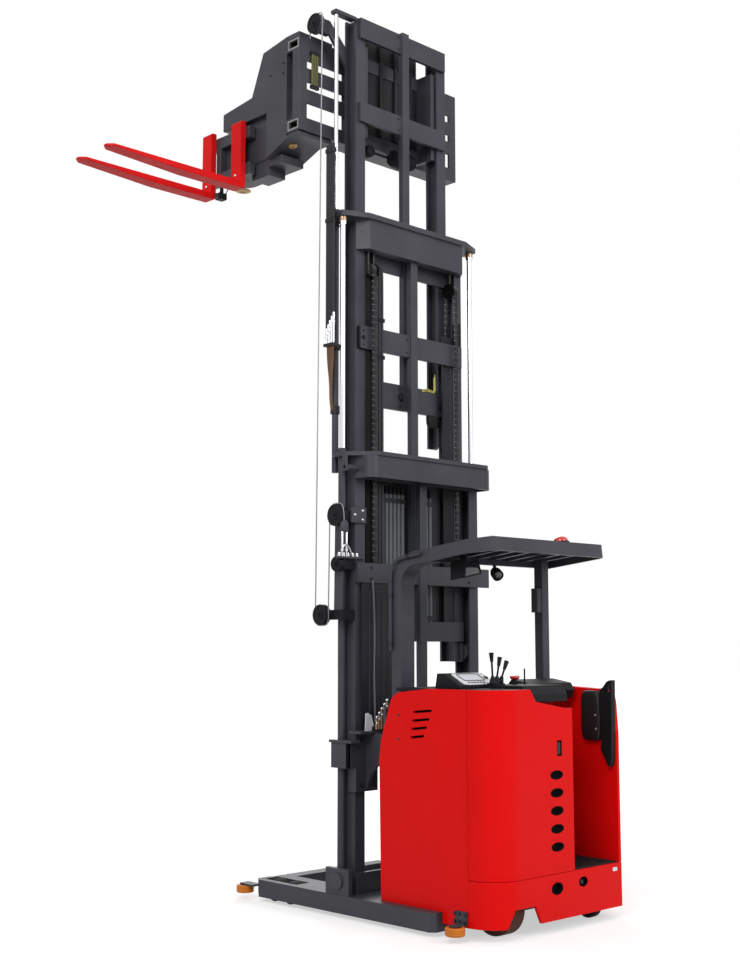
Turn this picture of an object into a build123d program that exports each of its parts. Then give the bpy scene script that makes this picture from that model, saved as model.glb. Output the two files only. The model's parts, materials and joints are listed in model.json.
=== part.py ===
"""Very narrow aisle forklift: stand-on chassis, triplex mast and a traversing swing head with two forks.

Millimetres, +X to the truck's right, +Y forward, +Z up. The origin lies on the floor, on the centreline,
below the rear face of the body. The mast stands raised and the forks point left.
"""
import os
from math import atan2, cos, degrees, radians, sin, tan

from build123d import *

os.makedirs("parts", exist_ok=True)

SIDES = {"left": -1, "right": 1}

# Clearances
RUN = 0.05          # radial play of a pin or axle in its bore
SEAT = 0.3          # play between a roller or slide pad and its track
FREE = 6.0          # air between moving neighbours
SEAM = 3.0          # visible joint between two body panels
RIM = 4.0           # ledge round a part that stands on a plate

# Straddle legs and cross members
leg_overhang = 72.0
leg_width = 250.0
leg_floor_gap = 25.0
leg_top = 130.0
leg_rear = 390.0
leg_front = 1925.0
leg_chamfer = 30.0
cross_beam_width = 100.0
foot_beam_rear, foot_beam_width = 1060.0, 200.0
floor_plate = 20.0

# Body shell
body_half_width = 588.0
body_front = 885.0
body_top = 1344.0
body_corner_radius = 195.0
body_right_chamfer = 45.0
panel = 20.0
skirt_floor_gap = 70.0
skirt_top = 320.0
door_top_low = 1230.0
deck_plate = 20.0
cab_width = 423.0
cab_side_wall = 67.0
cab_depth = 480.0
cab_wall, lining_rise = 18.0, 90.0
mat_thickness = 8.0
wall_rear_lean = 61.0
wall_rear_drop = 280.0
wall_top_fall = 20.0
front_rake = 15.0
nose_z, shoulder_z = 923.0, 1040.0
brow_z, brow_back = 1255.0, 90.0
crown_z, crown_back = 1320.0, 181.0
brow_bow_y, brow_bow_z = 125.0, 1300.0
flat_back = 400.0
bulkhead_drop = 120.0
door_notch_left, door_notch_step, door_notch_rise = -277.0, 51.0, 45.0

# Wheels
drive_x, drive_y = -335.0, 200.0
drive_radius, drive_width = 150.0, 120.0
drive_axle_radius, drive_rim = 30.0, 105.0
wheel_well = 168.0
mount_under, mount_plate, mount_cheek = 345.0, 20.0, 12.0
steer_motor_radius, steer_motor_top = 105.0, 620.0
caster_x, caster_y = 420.0, 190.0
caster_radius, caster_width, caster_trail = 80.0, 56.0, 38.0
caster_pin_radius, caster_crown = 24.0, 190.0
caster_crown_plate, caster_boss_radius = 20.0, 38.0
load_inset = 100.0
load_radius, load_width, load_rim = 68.0, 90.0, 44.0
load_rear_y, load_pitch = 1665.0, 150.0
slot_air = 10.0
axle_radius = 20.0
guide_radius, guide_height, guide_z = 55.0, 46.0, 60.0
guide_rear_y, guide_front_y = 227.0, 2029.0
guide_pin_radius, guide_rim = 12.0, 34.0

# Mast sections
flange_width = 84.0
flange = 16.0
web = 16.0
web_inset = 34.0
stage_step_x, stage_step_y = 68.0, 72.0
mast_inset = 100.0
outer_rear = 1123.0
section_depth = 135.0
inner_depth = 106.0
beam = 25.0
post_width, post_depth, post_stand = 62.0, 40.0, 12.0
outer_top = 2739.0
middle_foot, middle_top = 1480.0, 4270.0
inner_foot, inner_top = 2900.0, 5668.0
roller_zone = 120.0
foot_beam_rise, foot_beam_height = 200.0, 170.0
mid_beam_drop, mid_beam_height = 703.0, 130.0
head_beam_height = 136.0
middle_beam_rise, middle_beam_height = 130.0, 127.0
stay_drop, stay_height = 828.0, 147.0
guard_beam_drop, guard_beam_height = 773.0, 122.0
outer_foot_height = 120.0
collar_plate = 25.0
outer_collar_drop = 135.0
outer_collar_rear = 982.0
collar_wing = 80.0
middle_collar_plate = 35.0
middle_collar_drop = 192.0
middle_collar_wing = 133.0

# Lift cylinders
cylinder_gap, cylinder_y = 5.0, 1207.0
barrel_radius, rod_radius = 25.0, 18.5
barrel_floor = 1100.0
rod_overlap = 300.0
free_gap, free_y = 86.0, 1287.0
free_barrel_radius, free_rod_radius = 21.0, 14.0
free_barrel_foot = 2650.0
free_barrel_floor = 20.0
free_gland, free_gland_lip = 30.0, 9.0
free_rod_overlap = 300.0
top_lug_height = 23.0
top_lug_half = 26.0

# Leaf chains and their sheaves
sheave_inset, sheave_y, sheave_drop = 112.0, 1182.0, 315.0
sheave_radius, sheave_width = 42.0, 36.0
chain_width, chain_thickness, chain_pitch = 34.0, 12.0, 38.0

# Carriage, traverse frame and boom
carriage_roller_low, carriage_roller_pitch = 110.0, 450.0
carriage_plate = 34.0
carriage_drop, carriage_height = 778.0, 615.0
frame_rear = 1460.0
frame_lap = 10.0
rail, rail_depth = 90.0, 130.0
rail_wall = 12.0
frame_half = 741.0
end_plate, end_plate_depth, end_post = 12.0, 70.0, 66.0
slat_depth = 16.0
boom_end_gap = 151.0
boom_half = 145.0
boom_column = 205.0
boom_pocket = 25.0
pivot_y = 2200.0
roof_end = 2265.0
arm_drop, arm_height, arm_half = 155.0, 55.0, 95.0
head_height, head_radius = 293.0, 85.0
spine_half = 105.0
pivot_radius = 40.0
pivot_depth = 45.0

# Fork carriage and forks
fork_bar_gap = 115.0
fork_bar = 50.0
fork_bar_half = 250.0
fork_bar_height, fork_bar_pitch = 80.0, 250.0
fork_spacing = 320.0
fork_width = 100.0
fork_shank = 45.0
fork_drop = 80.0
fork_shank_height = 420.0
fork_length = 1060.0
fork_tip, fork_tip_chamfer = 14.0, 35.0
heel_bevel, blade_straight = 12.0, 477.0

# Overhead guard
guard_left_inset, guard_right_overhang = 68.0, 12.0
guard_rear, guard_front = 115.0, 570.0
guard_under, guard_top = 2120.0, 2200.0
guard_tilt = 6.5
guard_skin = 18.0
guard_chamfer = 70.0
arm_width = 114.0
guard_arm_depth = 80.0
guard_bend = 200.0
post_inset, post_y = 118.0, 513.0
post_size = 64.0

# Values that follow from the sizes above
leg_half_width = body_half_width + leg_overhang
leg_inner = leg_half_width - leg_width
cab_right = body_half_width - cab_side_wall
cab_left = cab_right - cab_width
load_x = leg_half_width - load_inset
guide_x = leg_half_width
outer_half_width = leg_half_width - mast_inset
middle_half_width = outer_half_width - stage_step_x
inner_half_width = middle_half_width - stage_step_x
middle_rear = outer_rear + stage_step_y
inner_rear = middle_rear + stage_step_y
rail_front = frame_rear + rail_depth
boom_x = -frame_half + boom_end_gap
boom_rear = rail_front + FREE
column_front = boom_rear + boom_column
deck_top = skirt_top
deck_under = deck_top - deck_plate
door_bottom = skirt_top + SEAM
mat_top = deck_top + mat_thickness
top_under = body_top - panel
outer_collar_half = outer_half_width + collar_wing
middle_collar_half = middle_half_width + middle_collar_wing
outer_cap = outer_top + collar_plate
middle_cap = middle_top + middle_collar_plate
sheave_x = middle_half_width - sheave_inset
sheave_z = middle_top - sheave_drop
rear_run_y = sheave_y - sheave_radius
front_run_y = sheave_y + sheave_radius
cylinder_x = outer_half_width + barrel_radius + cylinder_gap
free_x = -middle_half_width - free_gap
top_lug = inner_top - top_lug_height
carriage_low = inner_top - carriage_drop
carriage_high = carriage_low + carriage_height
carriage_rollers = (
    carriage_low + carriage_roller_low,
    carriage_low + carriage_roller_low + carriage_roller_pitch,
)
frame_low = carriage_low - frame_lap
frame_high = carriage_high + frame_lap
arm_low = carriage_low - arm_drop
arm_top = arm_low + arm_height
roof_under = arm_top + head_height
fork_bars = (
    (arm_top - fork_bar_height, arm_top),
    (arm_top - fork_bar_height + fork_bar_pitch, arm_top + fork_bar_pitch),
)
fork_top = arm_low - fork_drop
fork_shank_top = fork_top + fork_shank_height
bulkhead_front = body_front - front_rake
bulkhead_rear = bulkhead_front - panel
guard_left = -body_half_width + guard_left_inset
guard_right = body_half_width + guard_right_overhang
post_x = body_half_width - post_inset
roof_fall = tan(radians(guard_tilt))
roof_hinge = Axis((0, guard_rear, guard_top), (1, 0, 0))


def block(x, y, z, mode=Mode.ADD):
    """Box between two limits on each axis, added to the part being built."""
    centre = ((x[0] + x[1]) / 2, (y[0] + y[1]) / 2, (z[0] + z[1]) / 2)
    with Locations(centre):
        Box(abs(x[1] - x[0]), abs(y[1] - y[0]), abs(z[1] - z[0]), mode=mode)


def sided(side, near, far):
    """Limits of a stretch between two distances from the centreline, on one side."""
    return (side * near, side * far)


def upright(x, y, z, radius, mode=Mode.ADD):
    """Vertical cylinder between two heights."""
    with Locations((x, y, (z[0] + z[1]) / 2)):
        Cylinder(radius, z[1] - z[0], mode=mode)


def crosswise(x, y, z, radius, mode=Mode.ADD):
    """Cylinder along X between two limits."""
    low, high = min(x), max(x)
    with Locations(Location(((low + high) / 2, y, z), (0, 90, 0))):
        Cylinder(radius, high - low, mode=mode)


def facing(y):
    """Plane across the truck at a distance from the rear, with X to the right and Z up."""
    return Plane(origin=(0, y, 0), x_dir=(1, 0, 0), z_dir=(0, -1, 0))


def front_outline():
    """Front edge that both side walls share, from the leg up to the flat top."""
    brow = (body_front - brow_back, brow_z)
    crown = (body_front - crown_back, crown_z)
    Polyline(
        (body_front - front_rake, leg_top),
        (body_front, nose_z),
        (body_front - front_rake, shoulder_z),
        brow,
    )
    ThreePointArc(brow, (body_front - brow_bow_y, brow_bow_z), crown)
    Line(crown, (body_front - flat_back, body_top))


def save(builder, name):
    builder.part.label = name
    export_step(builder.part, f"parts/{name}.step")


# Base frame: legs with wheel slots, cross members, mast foot blocks and the deck over the rear wheels
slot_x = load_width / 2 + slot_air
slot_y = (load_rear_y - load_radius - slot_air, load_rear_y + load_pitch + load_radius + slot_air)
foot_block = (1076.0, 1276.0)
foot_block_height = 150.0
deck_wall = (cab_depth - deck_plate, cab_depth)
pin_end = caster_crown + caster_crown_plate + FREE
with BuildPart() as base_frame:
    for side in SIDES.values():
        block(sided(side, leg_inner, leg_half_width), (leg_rear, leg_front), (leg_floor_gap, leg_top))
    corners = base_frame.edges().filter_by(Axis.Z).group_by(Axis.Y)
    chamfer(corners[0] + corners[-1], leg_chamfer)
    for beam_rear, beam_front in (
        (leg_front - cross_beam_width, leg_front),
        (foot_beam_rear, foot_beam_rear + foot_beam_width),
    ):
        block((-leg_inner, leg_inner), (beam_rear, beam_front), (leg_floor_gap, leg_top))
    block((-leg_inner, leg_inner), (cab_depth, body_front), (leg_top - floor_plate, leg_top))
    block((-leg_inner, leg_inner), deck_wall, (leg_floor_gap, leg_top))
    block((-body_half_width + panel, body_half_width - panel), deck_wall, (leg_top, deck_under))
    with BuildSketch(Plane.XY.offset(deck_under)):
        with BuildLine():
            Polyline(
                (-body_half_width + panel, cab_depth),
                (body_half_width - panel, cab_depth),
                (body_half_width - panel, body_right_chamfer + panel / 2),
                (body_half_width - body_right_chamfer - panel / 2, panel),
                (-body_half_width + body_corner_radius, panel),
            )
            RadiusArc(
                (-body_half_width + body_corner_radius, panel),
                (-body_half_width + panel, body_corner_radius),
                body_corner_radius - panel,
            )
            Line((-body_half_width + panel, body_corner_radius), (-body_half_width + panel, cab_depth))
        make_face()
    extrude(amount=deck_plate)
    upright(drive_x, drive_y, (deck_under, deck_top), wheel_well, Mode.SUBTRACT)
    mount_x = (drive_x - wheel_well - mount_cheek, drive_x + wheel_well + mount_cheek)
    mount_y = (drive_y - steer_motor_radius - 2 * mount_cheek, cab_depth)
    block(mount_x, mount_y, (mount_under, mount_under + mount_plate))
    for x in (mount_x[0], mount_x[1] - mount_cheek):
        block((x, x + mount_cheek), mount_y, (deck_top, mount_under))
    mount_z = (mount_under, mount_under + mount_plate)
    upright(drive_x, drive_y, mount_z, steer_motor_radius + FREE, Mode.SUBTRACT)
    for side in SIDES.values():
        block(sided(side, load_x - slot_x, load_x + slot_x), slot_y, (0, leg_top), Mode.SUBTRACT)
        for wheel in range(2):
            y = load_rear_y + wheel * load_pitch
            crosswise(sided(side, load_x - slot_x, load_x + slot_x), y, load_radius, axle_radius)
        foot_x = sided(side, outer_half_width + barrel_radius * 2 + 2 * FREE, leg_half_width - FREE)
        block(foot_x, foot_block, (leg_top, leg_top + foot_block_height))
        pin_x = sided(side, leg_half_width - FREE, leg_half_width + FREE)
        crosswise(pin_x, sum(foot_block) / 2, leg_top + foot_block_height / 2, foot_block_height / 3)
    upright(caster_x, caster_y, (pin_end + SEAT, deck_under), caster_pin_radius)
save(base_frame, "base_frame")

# Left body panel with its louvres
louvres = (
    # rear y, front y, rear z, front z
    (460, 610, 1222, 1209),
    (478, 617, 1174, 1160),
    (498, 625, 1127, 1112),
    (520, 632, 1079, 1064),
)
louvre_height = 14.0
with BuildPart() as left_side_panel:
    with BuildSketch(Plane.YZ.offset(-body_half_width)):
        with BuildLine():
            Polyline(
                (body_corner_radius, skirt_floor_gap),
                (leg_rear - SEAM, skirt_floor_gap),
                (leg_rear - SEAM, leg_top),
                (body_front - front_rake, leg_top),
            )
            front_outline()
            Polyline(
                (body_front - flat_back, body_top),
                (body_corner_radius, body_top),
                (body_corner_radius, skirt_floor_gap),
            )
        make_face()
    extrude(amount=panel)
    for rear_y, front_y, rear_z, front_z in louvres:
        slope = degrees(atan2(front_z - rear_z, front_y - rear_y))
        with BuildSketch(Plane.YZ.offset(-body_half_width)):
            with Locations(Location(((rear_y + front_y) / 2, (rear_z + front_z) / 2, 0), (0, 0, slope))):
                SlotOverall(front_y - rear_y, louvre_height)
        extrude(amount=panel, mode=Mode.SUBTRACT)
save(left_side_panel, "left_side_panel")

# Rear door: wraps the left rear corner and stops at the operator's opening
door_vents = (863.0, 764.0, 665.0, 566.0, 467.0)
door_vent_x = -52.0
door_vent_size = (95.0, 40.0)
door_latch = (-24.0, 1010.0, 44.0, 88.0)
with BuildPart() as rear_door:
    with BuildSketch(Plane.XY.offset(door_bottom)):
        with BuildLine():
            corner = (-body_half_width + body_corner_radius, 0)
            Line((cab_left, 0), corner)
            RadiusArc(corner, (-body_half_width, body_corner_radius - SEAM), body_corner_radius)
            inner_edge = (-body_half_width + panel, body_corner_radius - SEAM)
            Line((-body_half_width, body_corner_radius - SEAM), inner_edge)
            inner_corner = (-body_half_width + body_corner_radius, panel)
            RadiusArc(inner_edge, inner_corner, -(body_corner_radius - panel))
            Polyline(inner_corner, (cab_left, panel), (cab_left, 0))
        make_face()
    extrude(amount=body_top - door_bottom)
    with BuildSketch(facing(-1)):
        with BuildLine():
            Polyline(
                (door_notch_left, body_top),
                (door_notch_left + door_notch_step, door_top_low + door_notch_rise),
                (cab_left - door_notch_step, door_top_low),
                (cab_left, door_top_low),
                (cab_left, body_top),
                (door_notch_left, body_top),
            )
        make_face()
    extrude(amount=-panel - 1, mode=Mode.SUBTRACT)
    with BuildSketch(facing(0)):
        with Locations(*[(door_vent_x, z) for z in door_vents]):
            Ellipse(door_vent_size[0] / 2, door_vent_size[1] / 2)
        with Locations(door_latch[:2]):
            Rectangle(*door_latch[2:])
    extrude(amount=-panel / 2, mode=Mode.SUBTRACT)
save(rear_door, "rear_door")

# Rear skirt with the drive wheel's arch and two service holes
arch_half_foot, arch_half_top = 134.0, 85.0
arch_top = 168.0
skirt_holes = ((-61.0, 241.0), (176.0, 251.0))
skirt_hole_size = (80.0, 56.0)
with BuildPart() as rear_skirt:
    with BuildSketch(Plane.XY.offset(skirt_floor_gap)):
        with BuildLine():
            Line((-body_half_width, body_corner_radius), (-body_half_width + panel, body_corner_radius))
            RadiusArc(
                (-body_half_width + panel, body_corner_radius),
                (-body_half_width + body_corner_radius, panel),
                -(body_corner_radius - panel),
            )
            Polyline(
                (-body_half_width + body_corner_radius, panel),
                (body_half_width - body_right_chamfer - panel / 2, panel),
                (body_half_width - panel, body_right_chamfer + panel / 2),
                (body_half_width - panel, leg_rear - SEAM),
                (body_half_width, leg_rear - SEAM),
                (body_half_width, body_right_chamfer),
                (body_half_width - body_right_chamfer, 0),
                (-body_half_width + body_corner_radius, 0),
            )
            RadiusArc(
                (-body_half_width + body_corner_radius, 0),
                (-body_half_width, body_corner_radius),
                body_corner_radius,
            )
        make_face()
    extrude(amount=skirt_top - skirt_floor_gap)
    with BuildSketch(facing(0)):
        with BuildLine():
            Polyline(
                (drive_x - arch_half_foot, skirt_floor_gap),
                (drive_x - arch_half_top, arch_top),
                (drive_x + arch_half_top, arch_top),
                (drive_x + arch_half_foot, skirt_floor_gap),
                (drive_x - arch_half_foot, skirt_floor_gap),
            )
        make_face()
        with Locations(*skirt_holes):
            Ellipse(skirt_hole_size[0] / 2, skirt_hole_size[1] / 2)
    extrude(amount=-body_corner_radius / 2, mode=Mode.SUBTRACT)
save(rear_skirt, "rear_skirt")

# Right wall: a deep box beside the operator, a single panel further forward
with BuildPart() as right_wall:
    with BuildSketch(Plane.YZ.offset(cab_right)):
        with BuildLine():
            Polyline(
                (0, door_bottom),
                (cab_depth, door_bottom),
                (cab_depth, body_top),
                (wall_rear_lean, body_top - wall_top_fall),
                (0, body_top - wall_rear_drop),
                (0, door_bottom),
            )
        make_face()
    extrude(amount=body_half_width - cab_right)
    rear_corners = right_wall.edges().filter_by(Axis.Z).group_by(Axis.Y)[0]
    chamfer(rear_corners.sort_by(Axis.X)[-1], body_right_chamfer)
    with BuildSketch(Plane.YZ.offset(body_half_width - panel)):
        with BuildLine():
            Line((cab_depth, leg_top), (body_front - front_rake, leg_top))
            front_outline()
            Polyline((body_front - flat_back, body_top), (cab_depth, body_top), (cab_depth, leg_top))
        make_face()
    extrude(amount=panel)
    with BuildSketch(Plane.YZ.offset(body_half_width - panel)):
        with BuildLine():
            Polyline(
                (leg_rear, leg_top),
                (cab_depth, leg_top),
                (cab_depth, door_bottom),
                (leg_rear, door_bottom),
                (leg_rear, leg_top),
            )
        make_face()
    extrude(amount=panel)
save(right_wall, "right_wall")

# Front bulkhead, between the two side walls
with BuildPart() as front_bulkhead:
    inside = body_half_width - panel
    block((-inside, inside), (bulkhead_rear, bulkhead_front), (leg_top, body_top - bulkhead_drop))
save(front_bulkhead, "front_bulkhead")

# Cover over the battery and the power unit, open where the console drops behind the door
cover_front = bulkhead_rear - guard_arm_depth - FREE
console_left, console_front = -276.0, 336.0
with BuildPart() as top_cover:
    inside = body_half_width - panel
    with BuildSketch(Plane.XY.offset(top_under)):
        with BuildLine():
            Polyline(
                (-inside, body_corner_radius),
                (-inside, cover_front),
                (inside, cover_front),
                (inside, cab_depth),
                (cab_left - cab_wall, cab_depth),
                (cab_left - cab_wall, console_front),
                (console_left, console_front),
                (console_left, panel),
                (-body_half_width + body_corner_radius, panel),
            )
            RadiusArc(
                (-body_half_width + body_corner_radius, panel),
                (-inside, body_corner_radius),
                body_corner_radius - panel,
            )
        make_face()
    extrude(amount=panel)
save(top_cover, "top_cover")

# Lining of the operator's place: its left side and its front
with BuildPart() as cab_lining:
    block((cab_left - cab_wall, cab_left), (panel, cab_depth), (deck_top, door_top_low))
    block((cab_left, cab_right), (cab_depth - cab_wall, cab_depth), (deck_top, door_top_low + lining_rise))
save(cab_lining, "cab_lining")

# Heavy masses inside the body
battery_top = 1000.0
power_top = 1150.0
with BuildPart() as battery_block:
    battery_half = body_half_width - panel - 2 * FREE
    block((-battery_half, battery_half), (cab_depth, bulkhead_rear), (leg_top, battery_top))
save(battery_block, "battery_block")

with BuildPart() as power_unit:
    power_left = drive_x + wheel_well + panel + FREE
    block((power_left, cab_left - cab_wall), (panel + 2 * FREE, cab_depth), (deck_top, power_top))
save(power_unit, "power_unit")

# Platform mat with its grip ribs
mat_ribs = 6
mat_rib_width, mat_rib_height = 16.0, 3.0
with BuildPart() as platform_mat:
    block((cab_left, cab_right), (panel, cab_depth - cab_wall), (deck_top, mat_top))
    rib_pitch = (cab_right - cab_left) / (mat_ribs + 1)
    for rib in range(mat_ribs):
        x = cab_left + rib_pitch * (rib + 1)
        rib_y = (panel + 2 * mat_rib_width, cab_depth - cab_wall - 2 * mat_rib_width)
        block((x - mat_rib_width / 2, x + mat_rib_width / 2), rib_y, (mat_top, mat_top + mat_rib_height))
save(platform_mat, "platform_mat")

# Console: a moulded pod behind the door's low edge, a screen wedge and an arm before the operator
console_rise, pod_bevel = 18.0, 40.0
console_top = body_top + console_rise
console_low = door_top_low + pod_bevel
pod_rear_fall = 30.0
pad_depth = 40.0
screen_left, screen_right = -490.0, -160.0
screen_height, screen_slope, screen_flat, screen_foot = 84.0, 125.0, 50.0, 15.0
arm_rear, arm_nose, arm_crest = 270.0, 25.0, 24.0
arm_end = cab_right - pad_depth - FREE
arm_front = cab_depth - cab_wall
with BuildPart() as console:
    with BuildSketch(Plane.YZ.offset(console_left)):
        with BuildLine():
            Polyline(
                (panel, console_low),
                (panel, body_top - pod_rear_fall),
                (panel + pod_bevel, console_top),
                (console_front, console_top),
                (console_front, console_low),
                (panel, console_low),
            )
        make_face()
    extrude(amount=cab_left - cab_wall - console_left)
    with BuildSketch(Plane.YZ.offset(screen_left)):
        with BuildLine():
            Polyline(
                (console_front, body_top),
                (console_front, console_top),
                (console_front + screen_slope, body_top + screen_height),
                (console_front + screen_slope + screen_flat, body_top + screen_height),
                (console_front + screen_slope + screen_flat + screen_foot, body_top),
                (console_front, body_top),
            )
        make_face()
    extrude(amount=screen_right - screen_left)
    with BuildSketch(Plane.YZ.offset(cab_left - cab_wall)):
        with BuildLine():
            Polyline(
                (arm_rear + arm_nose, console_low),
                (arm_rear, body_top - arm_nose),
                (arm_rear + arm_nose, console_top),
                (arm_front - arm_crest, console_top + arm_crest),
                (arm_front, console_top),
                (arm_front, console_low),
                (arm_rear + arm_nose, console_low),
            )
        make_face()
    extrude(amount=arm_end - cab_left + cab_wall)
save(console, "console")

# Levers, emergency stop and steering knob on the console
levers = (
    # foot x, lean to the right, height of the knob's top
    (-284.0, -4.0, 175.0),
    (-256.0, 13.0, 152.0),
    (-222.0, 26.0, 138.0),
)
lever_y = 285.0
lever_base, lever_base_half = 10.0, 35.0
boot_radius, boot_neck, boot_height = 22.0, 9.0, 42.0
stem_radius = 6.0
knob_radius, knob_height = 14.0, 52.0
stop_x, stop_neck, stop_height, stop_radius, stop_cap = -70.0, 14.0, 34.0, 27.0, 16.0
stick_x, stick_radius, stick_height = 20.0, 5.0, 90.0
lever_foot = (Align.CENTER, Align.CENTER, Align.MIN)
with BuildPart() as control_levers:
    foot = console_top + lever_base
    base_x = (levers[0][0] + 2 * RIM, levers[-1][0] + boot_radius + RIM)
    block(base_x, (lever_y - lever_base_half, lever_y + lever_base_half), (console_top, foot))
    for x, lean, height in levers:
        with Locations(Location((x + boot_radius, lever_y, foot), (0, lean, 0))):
            Cone(boot_radius, boot_neck, boot_height, align=lever_foot)
            Cylinder(stem_radius, height - RIM, align=lever_foot)
            with Locations((0, 0, height - knob_height)):
                Cone(boot_neck, knob_radius, knob_height, align=lever_foot)
    stop_low = console_top + stop_height
    upright(stop_x, lever_y, (console_top, stop_low), stop_neck)
    upright(stop_x, lever_y, (stop_low, stop_low + stop_cap), stop_radius)
    upright(stick_x, lever_y, (console_top, console_top + stick_height), stick_radius)
save(control_levers, "control_levers")

# Backrest pad and moulded grip on the right wall
pad_y, pad_round = (96.0, 240.0), 40.0
pad_z = (body_top - 326.0, body_top - 26.0)
with BuildPart() as backrest_pad:
    block((cab_right - pad_depth, cab_right), pad_y, pad_z)
    fillet(backrest_pad.edges().filter_by(Axis.X), pad_round)
save(backrest_pad, "backrest_pad")

grip_outline = (
    # y, and z above the body's top, from the upper root round the rear edge to the lower hook
    (92.0, -22.0),
    (68.0, -6.0),
    (42.0, 26.0),
    (22.0, 36.0),
    (3.0, 38.0),
    (6.0, -224.0),
    (14.0, -444.0),
    (28.0, -472.0),
    (42.0, -464.0),
    (66.0, -416.0),
    (92.0, -371.0),
    (86.0, -329.0),
)
finger_hole = ((54.0, -32.0), (20.0, 14.0), (20.0, -32.0))
with BuildPart() as grab_handles:
    with BuildSketch(Plane(origin=(cab_right - pad_depth, 0, body_top), x_dir=(0, 1, 0), z_dir=(1, 0, 0))):
        with BuildLine():
            Polyline(*grip_outline, close=True)
        make_face()
        with BuildLine():
            Polyline(*finger_hole, close=True)
        make_face(mode=Mode.SUBTRACT)
    extrude(amount=pad_depth)
save(grab_handles, "grab_handles")



def on_roof(y, z):
    """Place of a point of the level roof, seen from the side, once the roof is tilted."""
    tilt = radians(guard_tilt)
    along, up = y - guard_rear, z - guard_top
    return (guard_rear + along * cos(tilt) + up * sin(tilt), guard_top - along * sin(tilt) + up * cos(tilt))


# Overhead guard: curved left arm
with BuildPart() as guard_arm:
    inner_bend = guard_bend - guard_arm_depth
    arm_rear_face = bulkhead_rear - guard_arm_depth
    end_top = on_roof(guard_front, guard_top)
    end_low = on_roof(guard_front, guard_top - guard_arm_depth)
    elbow_top = (bulkhead_rear, end_top[1] - (bulkhead_rear - end_top[0]) * roof_fall)
    elbow_low = (arm_rear_face, end_low[1] - (arm_rear_face - end_low[0]) * roof_fall)
    with BuildSketch(Plane.YZ.offset(guard_left)):
        with BuildLine():
            FilletPolyline((bulkhead_rear, battery_top), elbow_top, end_top, radius=guard_bend)
            Line(end_top, end_low)
            FilletPolyline(end_low, elbow_low, (arm_rear_face, battery_top), radius=inner_bend)
            Line((arm_rear_face, battery_top), (bulkhead_rear, battery_top))
        make_face()
    extrude(amount=arm_width)
save(guard_arm, "guard_arm")

# Overhead guard: right post with its junction box
box_size, box_low = (40.0, 50.0, 150.0), 1790.0
post_half = post_size / 2
post_top = guard_top - (post_y - guard_rear) * roof_fall - guard_skin / 2
post_box = (
    (post_x - post_half, post_x + post_half),
    (post_y - post_half, post_y + post_half),
    (body_top, post_top),
)
with BuildPart() as guard_post:
    block(*post_box)
    box_x = (post_x - post_half - box_size[0], post_x - post_half)
    block(box_x, (post_y - box_size[1] / 2, post_y + box_size[1] / 2), (box_low, box_low + box_size[2]))
save(guard_post, "guard_post")

# Overhead guard: roof tray with slats below, tilted down to the front
slats = 7
slat_width, slat_height = 26.0, 34.0
with BuildPart() as level_roof:
    with BuildSketch(Plane.XY.offset(guard_under)):
        with BuildLine():
            Polyline(
                (guard_left, guard_front),
                (guard_left, guard_rear + 2 * guard_chamfer),
                (guard_left + guard_chamfer, guard_rear),
                (guard_right - guard_chamfer / 2, guard_rear),
                (guard_right, guard_rear + guard_chamfer / 2),
                (guard_right, guard_front),
                (guard_left, guard_front),
            )
        make_face()
    extrude(amount=guard_top - guard_under)
    offset(amount=-guard_skin, openings=level_roof.faces().sort_by(Axis.Z)[0])
    slat_pitch = (guard_right - guard_left) / (slats + 1)
    slat_z = (guard_top - guard_skin - slat_height, guard_top - guard_skin)
    slat_y = (guard_rear + guard_skin, guard_front - guard_skin)
    for slat in range(slats):
        x = guard_left + slat_pitch * (slat + 1)
        block((x - slat_width / 2, x + slat_width / 2), slat_y, slat_z)
with BuildPart() as guard_roof:
    add(level_roof.part.rotate(roof_hinge, -guard_tilt))
    block(*post_box, Mode.SUBTRACT)
save(guard_roof, "guard_roof")

# Work lamp under the guard and beacon on its roof
lamp_inset, lamp_setback = 140.0, 60.0
lamp_width, lamp_depth, lamp_flare = 110.0, 110.0, 20.0
lamp_outer_drop, lamp_inner_drop = 115.0, 85.0
lamp_stem = 30.0
beacon_x, beacon_setback = 240.0, 60.0
beacon_radius, beacon_foot = 30.0, 16.0
lamp_front = guard_front - lamp_setback
lamp_left = guard_left + lamp_inset
with BuildPart() as level_lamps:
    with BuildSketch(facing(lamp_front - lamp_depth)):
        with BuildLine():
            Polyline(
                (lamp_left, guard_under),
                (lamp_left + lamp_width, guard_under),
                (lamp_left + lamp_width + lamp_flare, guard_under - lamp_inner_drop),
                (lamp_left - lamp_flare, guard_under - lamp_outer_drop),
                (lamp_left, guard_under),
            )
        make_face()
    extrude(amount=-lamp_depth)
    stem_x = (lamp_left + lamp_width / 2 - lamp_stem / 2, lamp_left + lamp_width / 2 + lamp_stem / 2)
    stem_y = (lamp_front - lamp_depth / 2 - lamp_stem / 2, lamp_front - lamp_depth / 2 + lamp_stem / 2)
    block(stem_x, stem_y, (guard_under, guard_top - guard_skin))
    beacon_y = guard_rear + beacon_setback
    upright(beacon_x, beacon_y, (guard_top, guard_top + beacon_foot), beacon_radius + RIM)
    with Locations((beacon_x, beacon_y, guard_top + beacon_foot)):
        Sphere(beacon_radius, arc_size1=0)
with BuildPart() as guard_lamps:
    add(level_lamps.part.rotate(roof_hinge, -guard_tilt))
save(guard_lamps, "guard_lamps")


def channel(half_width, rear, depth, z, inset):
    """Both channels of one mast stage: two flanges and a web set in from the outer face."""
    front = rear + depth
    for side in SIDES.values():
        flange_x = sided(side, half_width - flange_width, half_width)
        block(flange_x, (rear, rear + flange), z)
        block(flange_x, (front - flange, front), z)
        block(sided(side, half_width - inset - web, half_width - inset), (rear + flange, front - flange), z)


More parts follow.
